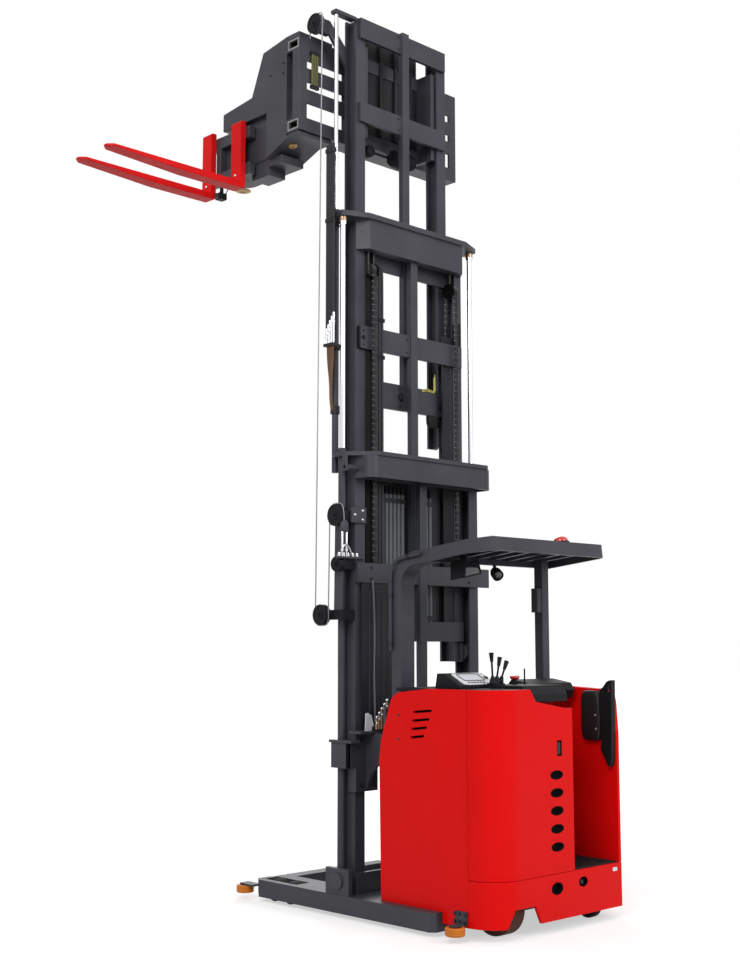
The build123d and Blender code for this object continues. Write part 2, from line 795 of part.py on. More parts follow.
def foot_rollers(half_width, rear, foot, groove_rear, groove_depth, groove_web):
    """Rollers at a stage's foot that run between the flanges of the stage round it."""
    roller_y = groove_rear + groove_depth / 2
    roller_radius = groove_depth / 2 - flange - SEAT
    z = foot + roller_zone / 2
    for side in SIDES.values():
        web_face = half_width - web_inset
        zone = (foot, foot + roller_zone)
        block(sided(side, web_face, half_width), (rear, rear + flange), zone, Mode.SUBTRACT)
        block(sided(side, web_face - web, web_face), (roller_y - axle_radius, rear + flange), zone)
        crosswise(sided(side, web_face, web_face + FREE), roller_y, z, axle_radius)
        crosswise(sided(side, web_face + FREE, groove_web - FREE), roller_y, z, roller_radius)


def ladder(half_width, rear, beams, post_z):
    """Cross beams and the central post on the rear faces of one stage."""
    for low, high in beams:
        block((-half_width, half_width), (rear - beam, rear), (low, high))
    block((-post_width / 2, post_width / 2), (rear - post_depth, rear), post_z)


# Outer mast stage
with BuildPart() as outer_channels:
    channel(outer_half_width, outer_rear, section_depth, (leg_top, outer_top), 0)
save(outer_channels, "outer_channels")

guard_beam = (outer_top - guard_beam_drop, outer_top - guard_beam_drop + guard_beam_height)
outer_beam_zs = ((leg_top, leg_top + outer_foot_height), guard_beam)
collar_under = outer_top - outer_collar_drop
with BuildPart() as outer_beams:
    ladder(outer_half_width, outer_rear, outer_beam_zs, (leg_top, collar_under))
    block((outer_half_width, outer_half_width + flange_width), (outer_rear - beam, outer_rear), guard_beam)
    for side in SIDES.values():
        anchor_x = sided(side, sheave_x - chain_width / 2, sheave_x + chain_width / 2)
        block(anchor_x, (outer_rear, rear_run_y + chain_thickness / 2), guard_beam)
save(outer_beams, "outer_beams")

collar_wall = 20.0
collar_round = 63.0
collar_lip, collar_flare, collar_sweep = 12.0, 18.0, 80.0
collar_slot = (middle_half_width + FREE, rear_run_y - chain_thickness / 2 - FREE)
wing_front = free_y - free_barrel_radius - FREE
with BuildPart() as outer_collar:
    with BuildSketch(Plane.XY.offset(collar_under)):
        with BuildLine():
            Polyline(
                (-outer_half_width, outer_rear),
                (-outer_half_width, outer_collar_rear),
                (outer_half_width, outer_collar_rear),
                (outer_half_width, outer_rear),
                (-outer_half_width, outer_rear),
            )
        make_face()
        fillet(vertices().group_by(Axis.Y)[0], collar_round)
    extrude(amount=outer_collar_drop)
    offset(amount=-collar_wall, openings=outer_collar.faces().filter_by(Axis.Z))
    with BuildSketch(Plane.XY.offset(outer_top)):
        with BuildLine():
            Polyline(
                (-outer_half_width + collar_round, outer_collar_rear - collar_lip),
                (outer_half_width - collar_round, outer_collar_rear - collar_lip),
                (outer_half_width + collar_flare, outer_collar_rear + collar_sweep),
                (outer_collar_half, outer_rear),
                (outer_collar_half, wing_front),
                (-outer_collar_half, wing_front),
                (-outer_collar_half, outer_rear),
                (-outer_half_width - collar_flare, outer_collar_rear + collar_sweep),
                (-outer_half_width + collar_round, outer_collar_rear - collar_lip),
            )
        make_face()
        fillet(vertices().group_by(Axis.Y)[-1], collar_round / 2)
        with Locations((0, (collar_slot[1] + wing_front) / 2 + 1)):
            Rectangle(2 * collar_slot[0], wing_front - collar_slot[1] + 2, mode=Mode.SUBTRACT)
        with Locations((-cylinder_x, cylinder_y), (cylinder_x, cylinder_y)):
            Circle(barrel_radius + SEAT, mode=Mode.SUBTRACT)
    extrude(amount=collar_plate)
save(outer_collar, "outer_collar")

# Lift cylinder barrels beside the outer channels
gland = 32.0
with BuildPart() as lift_cylinders:
    for side in SIDES.values():
        upright(side * cylinder_x, cylinder_y, (leg_top, outer_cap + gland), barrel_radius)
        bore = (barrel_floor, outer_cap + gland)
        upright(side * cylinder_x, cylinder_y, bore, rod_radius + RUN, Mode.SUBTRACT)
save(lift_cylinders, "lift_cylinders")

# Braces that tie the outer channels to the body
brace_z = (720.0, 1065.0)
brace_flange = 15.0
brace_rib, brace_nose = 24.0, 130.0
brace_bow = (150.0, 200.0)
with BuildPart() as mast_brace:
    for side in SIDES.values():
        near = outer_half_width - 2 * flange_width
        block(sided(side, near, outer_half_width), (outer_rear - beam, outer_rear), brace_z)
        side_x = sided(side, outer_half_width, outer_half_width + brace_flange)
        block(side_x, (outer_rear - beam, outer_rear + flange_width / 2), brace_z)
        flange_x = sided(side, near, outer_half_width + 2 * barrel_radius)
        flange_y = (outer_rear - 4 * beam, outer_rear)
        block(flange_x, flange_y, (brace_z[1], brace_z[1] + brace_flange))
        rib_x = side * (near + flange_width) - brace_rib / 2
        with BuildSketch(Plane.YZ.offset(rib_x)):
            with BuildLine():
                Polyline(
                    (outer_rear - beam, brace_z[0]),
                    (outer_rear - beam, brace_z[1]),
                    (bulkhead_front, brace_z[1]),
                    (bulkhead_front, brace_z[1] - brace_nose),
                )
                ThreePointArc(
                    (bulkhead_front, brace_z[1] - brace_nose),
                    (bulkhead_front + brace_bow[0], brace_z[1] - brace_bow[1]),
                    (outer_rear - beam, brace_z[0]),
                )
            make_face()
        extrude(amount=brace_rib)
save(mast_brace, "mast_brace")

# Guide roller brackets at the body's sides and the legs' front ends
bracket = 12.0
bracket_z = guide_z + guide_height / 2 + SEAT
pin_foot = guide_z - guide_height / 2
with BuildPart() as roller_brackets:
    for side in SIDES.values():
        rear_plate = (body_corner_radius + SEAM, guide_rear_y + guide_radius)
        plate_x = sided(side, body_half_width, body_half_width + bracket)
        block(plate_x, rear_plate, (bracket_z, bracket_z + 6 * bracket))
        arm_y = (guide_rear_y - 2 * bracket, guide_rear_y + 2 * bracket)
        block(sided(side, body_half_width, guide_x + 2 * bracket), arm_y, (bracket_z, bracket_z + bracket))
        arm_x = sided(side, guide_x - 4 * bracket, guide_x + 2 * bracket)
        block(arm_x, (leg_front, guide_front_y + 2 * bracket), (bracket_z, bracket_z + bracket))
        foot_x = sided(side, leg_half_width - leg_chamfer - 8 * bracket, leg_half_width - leg_chamfer)
        block(foot_x, (leg_front, leg_front + bracket), (pin_foot, leg_top))
        for y in (guide_rear_y, guide_front_y):
            upright(side * guide_x, y, (pin_foot, bracket_z), guide_pin_radius)
save(roller_brackets, "roller_brackets")

# Rope pulleys on the left outer channel
pulleys = (
    # y, z, radius
    (1290.0, 1771.0, 64.0),
    (1156.0, 2372.0, 68.0),
    (1145.0, 2075.0, 46.0),
)
pulley_gap, pulley_width = 120.0, 34.0
pulley_x = -outer_half_width - pulley_gap
pulley_groove = 9.0
pulley_arm_height, pulley_arm_depth = 60.0, 38.0


def pulley(y, z, radius):
    """Grooved rope pulley across the truck, added to the part being built."""
    half = pulley_width / 2
    with BuildSketch(Plane(origin=(pulley_x, y, z), x_dir=(1, 0, 0), z_dir=(0, -1, 0))) as groove:
        with BuildLine():
            Polyline(
                (-half, 0),
                (-half, radius),
                (-pulley_groove, radius),
                (0, radius - pulley_groove),
                (pulley_groove, radius),
                (half, radius),
                (half, 0),
                (-half, 0),
            )
        make_face()
    revolve(groove.sketch, axis=Axis((pulley_x, y, z), (1, 0, 0)))


with BuildPart() as rope_pulleys:
    for y, z, radius in pulleys:
        pulley(y, z, radius)
        arm_z = (z - pulley_arm_height / 2, z + pulley_arm_height / 2)
        arm_y = (outer_rear, outer_rear + pulley_arm_depth)
        hanger_x = (pulley_x + pulley_width / 2, pulley_x + pulley_width / 2 + bracket)
        hanger_y = (min(arm_y[0], y - axle_radius), max(arm_y[1], y + axle_radius))
        block(hanger_x, hanger_y, arm_z)
        block((hanger_x[0], -outer_half_width), arm_y, arm_z)
save(rope_pulleys, "rope_pulleys")

# Steered drive unit: turntable, gear leg, motor and axle
turntable = 14.0
turntable_top = mount_under - SEAT
gear_leg = 46.0
hub_gap = 8.0
with BuildPart() as steer_unit:
    upright(drive_x, drive_y, (turntable_top - turntable, turntable_top), wheel_well - 4 * FREE)
    upright(drive_x, drive_y, (turntable_top, steer_motor_top), steer_motor_radius)
    leg_x = drive_x + drive_width / 2 + hub_gap
    leg_y = (drive_y - drive_radius / 2, drive_y + drive_radius / 2)
    block((leg_x, leg_x + gear_leg), leg_y, (drive_radius / 2, turntable_top - turntable))
    crosswise((drive_x - drive_width / 2, leg_x), drive_y, drive_radius, drive_axle_radius)
save(steer_unit, "steer_unit")


BEVEL_SHARE, DISH_SHARE = 0.08, 0.18     # tread bevel by radius, dish depth by half width
HUB_SHARE, LIP_SHARE = 0.55, 0.92        # hub and lip by rim radius


def wheel(name, centre, radius, width, bore, rim, along=(0, 90, 0)):
    """Solid tyre on a hub with a dished face, bored for its axle."""
    half = width / 2
    bevel = min(radius * BEVEL_SHARE, half * BEVEL_SHARE * 4)
    dish = half * DISH_SHARE
    with BuildPart() as body:
        with BuildSketch(Plane.XZ):
            with BuildLine():
                Polyline(
                    (bore, -half + dish),
                    (rim * HUB_SHARE, -half + dish),
                    (rim * (HUB_SHARE + 0.05), -half + 2 * dish),
                    (rim * LIP_SHARE, -half + 2 * dish),
                    (rim, -half),
                    (radius - bevel, -half),
                    (radius, -half + bevel),
                    (radius, half - bevel),
                    (radius - bevel, half),
                    (rim, half),
                    (rim * LIP_SHARE, half - 2 * dish),
                    (rim * (HUB_SHARE + 0.05), half - 2 * dish),
                    (rim * HUB_SHARE, half - dish),
                    (bore, half - dish),
                    (bore, -half + dish),
                )
            make_face()
        revolve(axis=Axis.Z)
    placed = Location(centre, along) * body.part
    placed.label = name
    export_step(placed, f"parts/{name}.step")


drive_centre = (drive_x, drive_y, drive_radius)
wheel("drive_wheel", drive_centre, drive_radius, drive_width, drive_axle_radius + RUN, drive_rim)

# Caster at the right rear
fork_leg = 14.0
caster_wheel_y = caster_y - caster_trail
caster_axle_radius, caster_rim = 12.0, 48.0
with BuildPart() as caster_fork:
    crown_top = caster_crown + caster_crown_plate
    leg_inside = caster_width / 2 + FREE
    with BuildSketch(Plane.XY.offset(caster_crown)):
        with Locations((caster_x, caster_y)):
            Circle(leg_inside + fork_leg)
        with Locations((caster_x, caster_wheel_y)):
            Rectangle(2 * (leg_inside + fork_leg), 4 * caster_axle_radius)
    extrude(amount=caster_crown_plate)
    upright(caster_x, caster_y, (crown_top, deck_under - SEAT), caster_boss_radius)
    pin_bore = (pin_end, deck_under)
    upright(caster_x, caster_y, pin_bore, caster_pin_radius + RUN, Mode.SUBTRACT)
    for side in SIDES.values():
        leg_x = (caster_x + side * leg_inside, caster_x + side * (leg_inside + fork_leg))
        leg_y = (caster_wheel_y - 2 * caster_axle_radius, caster_wheel_y + 2 * caster_axle_radius)
        block(leg_x, leg_y, (caster_radius - 2 * caster_axle_radius, caster_crown))
    axle_x = (caster_x - leg_inside, caster_x + leg_inside)
    crosswise(axle_x, caster_wheel_y, caster_radius, caster_axle_radius)
save(caster_fork, "caster_fork")

caster_centre = (caster_x, caster_wheel_y, caster_radius)
wheel("caster_wheel", caster_centre, caster_radius, caster_width, caster_axle_radius + RUN, caster_rim)

# Tandem load wheels in the legs
for word, side in SIDES.items():
    for place, y in (("rear", load_rear_y), ("front", load_rear_y + load_pitch)):
        centre = (side * load_x, y, load_radius)
        wheel(f"load_wheel_{word}_{place}", centre, load_radius, load_width, axle_radius + RUN, load_rim)

# Guide rollers on upright pins
for word, side in SIDES.items():
    for place, y in (("rear", guide_rear_y), ("front", guide_front_y)):
        centre = (side * guide_x, y, guide_z)
        bore = guide_pin_radius + RUN
        wheel(f"guide_roller_{word}_{place}", centre, guide_radius, guide_height, bore, guide_rim, (0, 0, 0))

# Middle mast stage
with BuildPart() as middle_channels:
    channel(middle_half_width, middle_rear, section_depth, (middle_foot, middle_top), web_inset)
    groove_web = outer_half_width - web
    foot_rollers(middle_half_width, middle_rear, middle_foot, outer_rear, section_depth, groove_web)
save(middle_channels, "middle_channels")

middle_beam_zs = (
    (middle_foot + middle_beam_rise, middle_foot + middle_beam_rise + middle_beam_height),
    (middle_top - stay_drop, middle_top - stay_drop + stay_height),
)
middle_box = middle_top - middle_collar_drop
middle_beam_half = outer_half_width - flange_width - FREE
with BuildPart() as middle_beams:
    ladder(middle_beam_half, middle_rear, middle_beam_zs, (middle_beam_zs[0][0], middle_box))
save(middle_beams, "middle_beams")

middle_collar_reach = 90.0
box_taper, box_step = 60.0, 18.0
plate_taper, wing_overlap, wing_round = 40.0, 20.0, 30.0
middle_slot = (inner_half_width + FREE, inner_rear - post_depth - FREE)
middle_collar_rear = middle_rear - middle_collar_reach
middle_wing_front = middle_rear + section_depth + wing_round / 3
with BuildPart() as middle_collar:
    with BuildSketch(Plane.XY.offset(middle_box)):
        with BuildLine():
            Polyline(
                (-middle_half_width, middle_rear),
                (-middle_half_width + box_taper, middle_collar_rear + box_step),
                (middle_half_width - box_taper, middle_collar_rear + box_step),
                (middle_half_width, middle_rear),
                (-middle_half_width, middle_rear),
            )
        make_face()
    extrude(amount=middle_collar_drop)
    with BuildSketch(Plane.XY.offset(middle_top)):
        with BuildLine():
            Polyline(
                (-middle_half_width + plate_taper, middle_collar_rear),
                (middle_half_width - plate_taper, middle_collar_rear),
                (middle_collar_half, middle_rear - wing_overlap),
                (middle_collar_half, middle_wing_front),
                (-middle_collar_half, middle_wing_front),
                (-middle_collar_half, middle_rear - wing_overlap),
                (-middle_half_width + plate_taper, middle_collar_rear),
            )
        make_face()
        fillet(vertices().group_by(Axis.Y)[-1], wing_round)
        with Locations((0, (middle_slot[1] + middle_wing_front) / 2 + 1)):
            Rectangle(2 * middle_slot[0], middle_wing_front - middle_slot[1] + 2, mode=Mode.SUBTRACT)
        with Locations((free_x, free_y)):
            Circle(free_barrel_radius + SEAT, mode=Mode.SUBTRACT)
    extrude(amount=middle_collar_plate)
save(middle_collar, "middle_collar")

# Chrome rods of the main lift cylinders
rod_cap = 26.0
with BuildPart() as lift_rods:
    for side in SIDES.values():
        upright(side * cylinder_x, cylinder_y, (outer_cap - rod_overlap, middle_top), rod_radius)
        upright(side * cylinder_x, cylinder_y, (middle_top - 2 * rod_cap, middle_top), rod_cap)
save(lift_rods, "lift_rods")

# Barrel of the upper lift cylinder, hung in the middle collar
with BuildPart() as free_lift_barrel:
    upright(free_x, free_y, (free_barrel_foot, middle_cap + free_gland), free_barrel_radius)
    upright(free_x, free_y, (middle_cap, middle_cap + free_gland), free_barrel_radius + free_gland_lip)
    bore = (free_barrel_foot + free_barrel_floor, middle_cap + free_gland)
    upright(free_x, free_y, bore, free_rod_radius + RUN, Mode.SUBTRACT)
save(free_lift_barrel, "free_lift_barrel")

# Chain sheaves under the middle collar
sheave_cheek, cheek_rear, cheek_front, cheek_drop = 10.0, 15.0, 12.0, 25.0
with BuildPart() as chain_sheaves:
    for side in SIDES.values():
        sheave_span = sided(side, sheave_x - sheave_width / 2, sheave_x + sheave_width / 2)
        wrap_radius = sheave_radius + chain_thickness / 2
        crosswise(sheave_span, sheave_y, sheave_z, wrap_radius)
        below = (sheave_z - wrap_radius, sheave_z)
        block(sheave_span, (sheave_y - wrap_radius, sheave_y + wrap_radius), below, Mode.SUBTRACT)
        crosswise(sheave_span, sheave_y, sheave_z, sheave_radius - chain_thickness / 2 - SEAT)
        for face in (-1, 1):
            cheek = side * sheave_x + face * (sheave_width / 2 + sheave_cheek / 2)
            cheek_x = (cheek - sheave_cheek / 2, cheek + sheave_cheek / 2)
            cheek_y = (sheave_y - cheek_rear, sheave_y + cheek_front)
            block(cheek_x, cheek_y, (sheave_z - cheek_drop, middle_box))
save(chain_sheaves, "chain_sheaves")


def leaf_chain(name, y, z):
    """Both leaf chains of one run: plates with the pin ends standing out at each pitch."""
    links = int((z[1] - z[0]) / chain_pitch)
    step = (z[1] - z[0]) / links
    narrow, wide = chain_width / 3, chain_width / 2
    edge = [(narrow, z[0])]
    for link in range(links):
        low = z[0] + step * (link + 0.25)
        high = z[0] + step * (link + 0.75)
        edge += [(narrow, low), (wide, low), (wide, high), (narrow, high)]
    edge.append((narrow, z[1]))
    outline = edge + [(-x, height) for x, height in reversed(edge)]
    with BuildPart() as chains:
        for side in SIDES.values():
            with BuildSketch(facing(y - chain_thickness / 2)):
                with BuildLine():
                    Polyline(*[(side * sheave_x + x, height) for x, height in outline], close=True)
                make_face()
            extrude(amount=-chain_thickness)
    save(chains, name)


# Leaf chains: anchor on the outer beam up to the sheave, and sheave down to the inner foot beam
inner_beam_zs = (
    (inner_foot + foot_beam_rise, inner_foot + foot_beam_rise + foot_beam_height),
    (inner_top - mid_beam_drop, inner_top - mid_beam_drop + mid_beam_height),
    (inner_top - head_beam_height, inner_top),
)
leaf_chain("lift_chains", rear_run_y, (guard_beam[1], sheave_z))
leaf_chain("inner_chains", front_run_y, (inner_beam_zs[0][1], sheave_z))

# Inner mast stage
with BuildPart() as inner_channels:
    channel(inner_half_width, inner_rear, inner_depth, (inner_foot, inner_top), web_inset)
    groove_web = middle_half_width - web_inset - web
    foot_rollers(inner_half_width, inner_rear, inner_foot, middle_rear, section_depth, groove_web)
save(inner_channels, "inner_channels")

inner_beam_half = middle_half_width - flange_width - FREE
with BuildPart() as inner_beams:
    ladder(inner_beam_half, inner_rear, inner_beam_zs, (inner_beam_zs[0][0], inner_top + post_stand))
    for side in SIDES.values():
        anchor_x = sided(side, sheave_x - chain_width / 2, sheave_x + chain_width / 2)
        anchor_y = (front_run_y - chain_thickness / 2, inner_rear - beam)
        block(anchor_x, anchor_y, (inner_beam_zs[0][1] - 2 * chain_pitch, inner_beam_zs[0][1]))
save(inner_beams, "inner_beams")

# Rod of the upper lift cylinder with its lug on the inner stage
with BuildPart() as free_lift_rod:
    upright(free_x, free_y, (middle_cap - free_rod_overlap, top_lug), free_rod_radius)
save(free_lift_rod, "free_lift_rod")

top_pulley_y, top_pulley_drop, top_pulley_radius = 1371.0, 95.0, 66.0
bracket_depth, boss_half, boss_width = 20.0, 48.0, 88.0
arm_foot_drop, arm_foot_height = 328.0, 130.0
with BuildPart() as top_bracket:
    lug_y = (free_y - top_lug_half, free_y + top_lug_half)
    block((free_x - top_lug_half, -inner_half_width), lug_y, (top_lug, inner_top))
    pulley_z = inner_top - top_pulley_drop
    pulley(top_pulley_y, pulley_z, top_pulley_radius)
    boss_x = (pulley_x + pulley_width / 2, pulley_x + pulley_width / 2 + boss_width)
    boss_rear = middle_wing_front + FREE + RIM
    block(boss_x, (boss_rear, top_pulley_y + axle_radius), (pulley_z - boss_half, pulley_z + boss_half))
    with BuildSketch(facing(boss_rear)):
        with BuildLine():
            Polyline(
                (boss_x[0], pulley_z + boss_half),
                (boss_x[1], pulley_z + boss_half),
                (-inner_half_width, inner_top - arm_foot_drop + arm_foot_height),
                (-inner_half_width, inner_top - arm_foot_drop),
                (boss_x[1], pulley_z - boss_half),
                (boss_x[0], pulley_z - boss_half),
                close=True,
            )
        make_face()
    extrude(amount=-bracket_depth)
save(top_bracket, "top_bracket")

# Carriage: roller plates inside the inner channels and two bars
groove_y = inner_rear + inner_depth / 2
plate_outer = inner_half_width - flange_width - FREE
with BuildPart() as carriage:
    for side in SIDES.values():
        plate_x = sided(side, plate_outer - carriage_plate, plate_outer)
        block(plate_x, (inner_rear + flange, frame_rear), (carriage_low, carriage_high))
        for z in carriage_rollers:
            crosswise(sided(side, plate_outer, plate_outer + 2 * FREE), groove_y, z, axle_radius)
            roller_x = sided(side, plate_outer + 2 * FREE, inner_half_width - web_inset - web - FREE)
            crosswise(roller_x, groove_y, z, inner_depth / 2 - flange - SEAT)
    inside = plate_outer - carriage_plate
    for low, high in ((carriage_low, carriage_low + rail), (carriage_high - rail, carriage_high)):
        block((-inside, inside), (frame_rear - 2 * beam, frame_rear), (low, high))
save(carriage, "carriage")

# Traverse frame: two hollow rails with cross slats behind them, and an end plate with a post on each side
frame_slats = (
    # lower and upper edge above the frame's foot
    (189.0, 284.0),
    (332.0, 427.0),
    (475.0, 545.0),
)
with BuildPart() as traverse_frame:
    rail_y = (frame_rear, rail_front)
    slat_y = (frame_rear, frame_rear + slat_depth)
    bay_z = (frame_low + rail, frame_high - rail)
    for low, high in ((frame_low, bay_z[0]), (bay_z[1], frame_high)):
        block((-frame_half, frame_half), rail_y, (low, high))
        core_y = (frame_rear + rail_wall, rail_front - rail_wall)
        block((-frame_half, frame_half), core_y, (low + rail_wall, high - rail_wall), Mode.SUBTRACT)
    for low, high in frame_slats:
        block((-frame_half, frame_half), slat_y, (frame_low + low, frame_low + high))
    for side in SIDES.values():
        plate_y = (frame_rear, frame_rear + end_plate_depth)
        block(sided(side, frame_half - end_plate, frame_half), plate_y, bay_z)
        block(sided(side, frame_half - end_post, frame_half), slat_y, bay_z)
        stay_x = sided(side, plate_outer - carriage_plate, plate_outer)
        block(stay_x, (frame_rear, frame_rear + rail / 2), bay_z)
save(traverse_frame, "traverse_frame")

# Boom: a column that hooks over the rails, a spine, a roof, a lower bearing arm and the swing motor below
hook = 24.0
brow_run, brow_fall = 38.0, 5.0
slope_run = 117.0
roof_rear_height, roof_end_height = 153.0, 121.0
heel_rise = 40.0
motor_gap, motor_length, motor_drop, motor_half = 29.0, 176.0, 55.0, 72.0
with BuildPart() as boom:
    with BuildSketch(Plane.YZ.offset(boom_x - boom_half)):
        with BuildLine():
            Polyline(
                (boom_rear, frame_low - FREE - hook),
                (frame_rear + rail_wall, frame_low - FREE - hook),
                (frame_rear + rail_wall, frame_low - FREE),
                (boom_rear, frame_low - FREE),
                (boom_rear, frame_high + FREE),
                (frame_rear + rail_wall, frame_high + FREE),
                (frame_rear + rail_wall, frame_high + FREE + hook),
                (boom_rear, frame_high + FREE + hook),
                (column_front + brow_run, frame_high - brow_fall),
                (column_front + brow_run + slope_run, roof_under + roof_rear_height),
                (roof_end, roof_under + roof_end_height),
                (roof_end, roof_under),
                (column_front, roof_under),
                (column_front, arm_low + heel_rise),
                (boom_rear, frame_low - FREE - hook),
            )
        make_face()
    extrude(amount=2 * boom_half)
    with BuildSketch(Plane.XY.offset(arm_low)):
        with Locations((boom_x, pivot_y)):
            Circle(arm_half)
        with Locations((boom_x, (column_front + pivot_y) / 2)):
            Rectangle(2 * arm_half, pivot_y - column_front)
        with Locations((boom_x, column_front - boom_column / 4)):
            Rectangle(2 * arm_half, boom_column / 2)
    extrude(amount=arm_top - arm_low)
    spine_y = (column_front, pivot_y - head_radius - FREE)
    upright(boom_x, pivot_y, (arm_top - pivot_depth, arm_top), pivot_radius + RUN, Mode.SUBTRACT)
    upright(boom_x, pivot_y, (roof_under, roof_under + pivot_depth), pivot_radius + RUN, Mode.SUBTRACT)
    block((boom_x - spine_half, boom_x + spine_half), spine_y, (arm_top, roof_under))
    motor_x = (boom_x - arm_half, boom_x - arm_half + 2 * motor_half)
    motor_y = (column_front + motor_gap, column_front + motor_gap + motor_length)
    block(motor_x, motor_y, (arm_low - motor_drop, arm_top))
    pocket_x = (boom_x + boom_pocket, boom_x + boom_half)
    pocket_z = (frame_low + rail, frame_high - rail_wall)
    block(pocket_x, (boom_rear, column_front), pocket_z, Mode.SUBTRACT)
    pad_x = (boom_x - boom_half, boom_x + boom_half)
    for low, high in ((frame_low, frame_low + rail), (frame_high - rail, frame_high)):
        front_pad = (low + 2 * rail_wall, high - 2 * rail_wall)
        block((pad_x[0], pocket_x[0]), (rail_front + SEAT, boom_rear), front_pad)
    lip_y = (frame_rear + 2 * rail_wall, rail_front - rail_wall)
    block(pad_x, lip_y, (frame_high + SEAT, frame_high + FREE))
    block(pad_x, lip_y, (frame_low - FREE, frame_low - SEAT))
save(boom, "boom")

# Swing head: upright pivot column with an arm to the fork carriage
bar_back = boom_x - fork_bar_gap
with BuildPart() as swing_head:
    upright(boom_x, pivot_y, (arm_top + SEAT, roof_under - SEAT), head_radius)
    upright(boom_x, pivot_y, (arm_top - pivot_depth + FREE, arm_top + SEAT), pivot_radius)
    upright(boom_x, pivot_y, (roof_under - SEAT, roof_under + pivot_depth - FREE), pivot_radius)
    neck_z = (fork_bars[0][1] + 2 * FREE, fork_bars[1][1])
    block((bar_back, boom_x), (pivot_y - head_radius, pivot_y + head_radius), neck_z)
save(swing_head, "swing_head")

with BuildPart() as fork_carriage:
    bar_x = (bar_back - fork_bar, bar_back)
    for low, high in fork_bars:
        block(bar_x, (pivot_y - fork_bar_half, pivot_y + fork_bar_half), (low, high))
    for side in SIDES.values():
        web_y = pivot_y + side * head_radius
        block(bar_x, (web_y - fork_bar / 2, web_y + fork_bar / 2), (fork_bars[0][1], fork_bars[1][0]))
save(fork_carriage, "fork_carriage")

# Forks: shank, heel and a blade that thins towards its tip
shank_x = bar_back - fork_bar
blade_end = shank_x - fork_length
with BuildPart() as forks:
    for side in SIDES.values():
        fork_y = pivot_y + side * fork_spacing / 2
        with BuildSketch(facing(fork_y - fork_width / 2)):
            with BuildLine():
                Polyline(
                    (shank_x, fork_shank_top),
                    (shank_x, fork_top - fork_shank + heel_bevel),
                    (shank_x - heel_bevel, fork_top - fork_shank),
                    (shank_x - blade_straight, fork_top - fork_shank),
                    (blade_end, fork_top - fork_tip),
                    (blade_end, fork_top),
                    (shank_x - fork_shank, fork_top),
                    (shank_x - fork_shank, fork_shank_top - heel_bevel),
                    (shank_x - fork_shank + heel_bevel, fork_shank_top),
                    (shank_x, fork_shank_top),
                )
            make_face()
        extrude(amount=-fork_width)
    tips = forks.edges().filter_by(Axis.Z).group_by(Axis.X)[0]
    chamfer(tips, fork_tip_chamfer)
save(forks, "forks")

# Camera under the fork carriage
camera_stem = 60.0
camera_size = (60.0, 56.0, 45.0)
with BuildPart() as fork_camera:
    camera_y = pivot_y + fork_spacing / 4
    hang = fork_bars[0][0] - camera_stem
    stem_x = (bar_back - fork_bar / 2 - camera_stem / 6, bar_back - fork_bar / 2 + camera_stem / 6)
    block(stem_x, (camera_y - camera_stem / 6, camera_y + camera_stem / 6), (hang, fork_bars[0][0]))
    body_x = (bar_back - camera_size[0], bar_back)
    body_y = (camera_y - camera_size[1] / 2, camera_y + camera_size[1] / 2)
    block(body_x, body_y, (hang - camera_size[2], hang))
save(fork_camera, "fork_camera")
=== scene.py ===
# %% [markdown]
# # A very narrow aisle forklift, dressed in Blender
# The solid parts of the truck come in as a fixed frame: legs, body, mast, boom and forks. This lesson
# adds the finishes and the small parts that a maker fits last: bolts, hoses, lamps, chains and switches.
# Every added piece but the leaf chains rides on the body of the truck that carries it, so the mast can still
# travel.

# %% Load the frame
import json
import math

import bmesh
import bpy
from mathutils import Matrix, Vector


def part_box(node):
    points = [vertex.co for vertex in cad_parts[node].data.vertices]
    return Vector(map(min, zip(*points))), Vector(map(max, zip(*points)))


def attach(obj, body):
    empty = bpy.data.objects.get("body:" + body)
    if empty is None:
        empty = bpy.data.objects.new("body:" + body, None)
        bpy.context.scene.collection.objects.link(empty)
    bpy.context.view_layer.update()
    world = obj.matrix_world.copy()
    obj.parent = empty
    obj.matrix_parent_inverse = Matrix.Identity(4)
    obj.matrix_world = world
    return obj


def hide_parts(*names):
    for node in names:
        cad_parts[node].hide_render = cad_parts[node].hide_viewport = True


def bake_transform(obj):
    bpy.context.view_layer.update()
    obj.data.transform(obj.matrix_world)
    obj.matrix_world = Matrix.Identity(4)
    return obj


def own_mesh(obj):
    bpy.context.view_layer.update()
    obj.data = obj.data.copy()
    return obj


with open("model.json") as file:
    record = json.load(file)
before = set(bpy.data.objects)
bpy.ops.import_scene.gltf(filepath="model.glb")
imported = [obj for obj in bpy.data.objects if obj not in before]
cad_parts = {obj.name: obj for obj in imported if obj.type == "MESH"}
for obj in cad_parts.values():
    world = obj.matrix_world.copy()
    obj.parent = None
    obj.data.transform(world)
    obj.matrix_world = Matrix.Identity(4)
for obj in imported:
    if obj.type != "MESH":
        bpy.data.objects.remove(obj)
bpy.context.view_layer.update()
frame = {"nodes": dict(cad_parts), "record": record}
nodes = frame["nodes"]

# %% [markdown]
# ## Camera
# The photograph is taken from behind the truck's left corner with the lens tilted up by about seven
# degrees. Place, turn and focal length were solved from the straight edges of the legs and the mast.

# %% Camera
FRAME_HIGH = 962
FOCAL_PIXELS = 1351.7
SENSOR_WIDE = 36.0
VIEW_REACH = 200.0
CAMERA_PLACE = (-6.187, -4.876, 1.6)
CAMERA_TILT, CAMERA_TURN = 96.845, -43.8
put_in_scene = bpy.context.scene.collection.objects.link

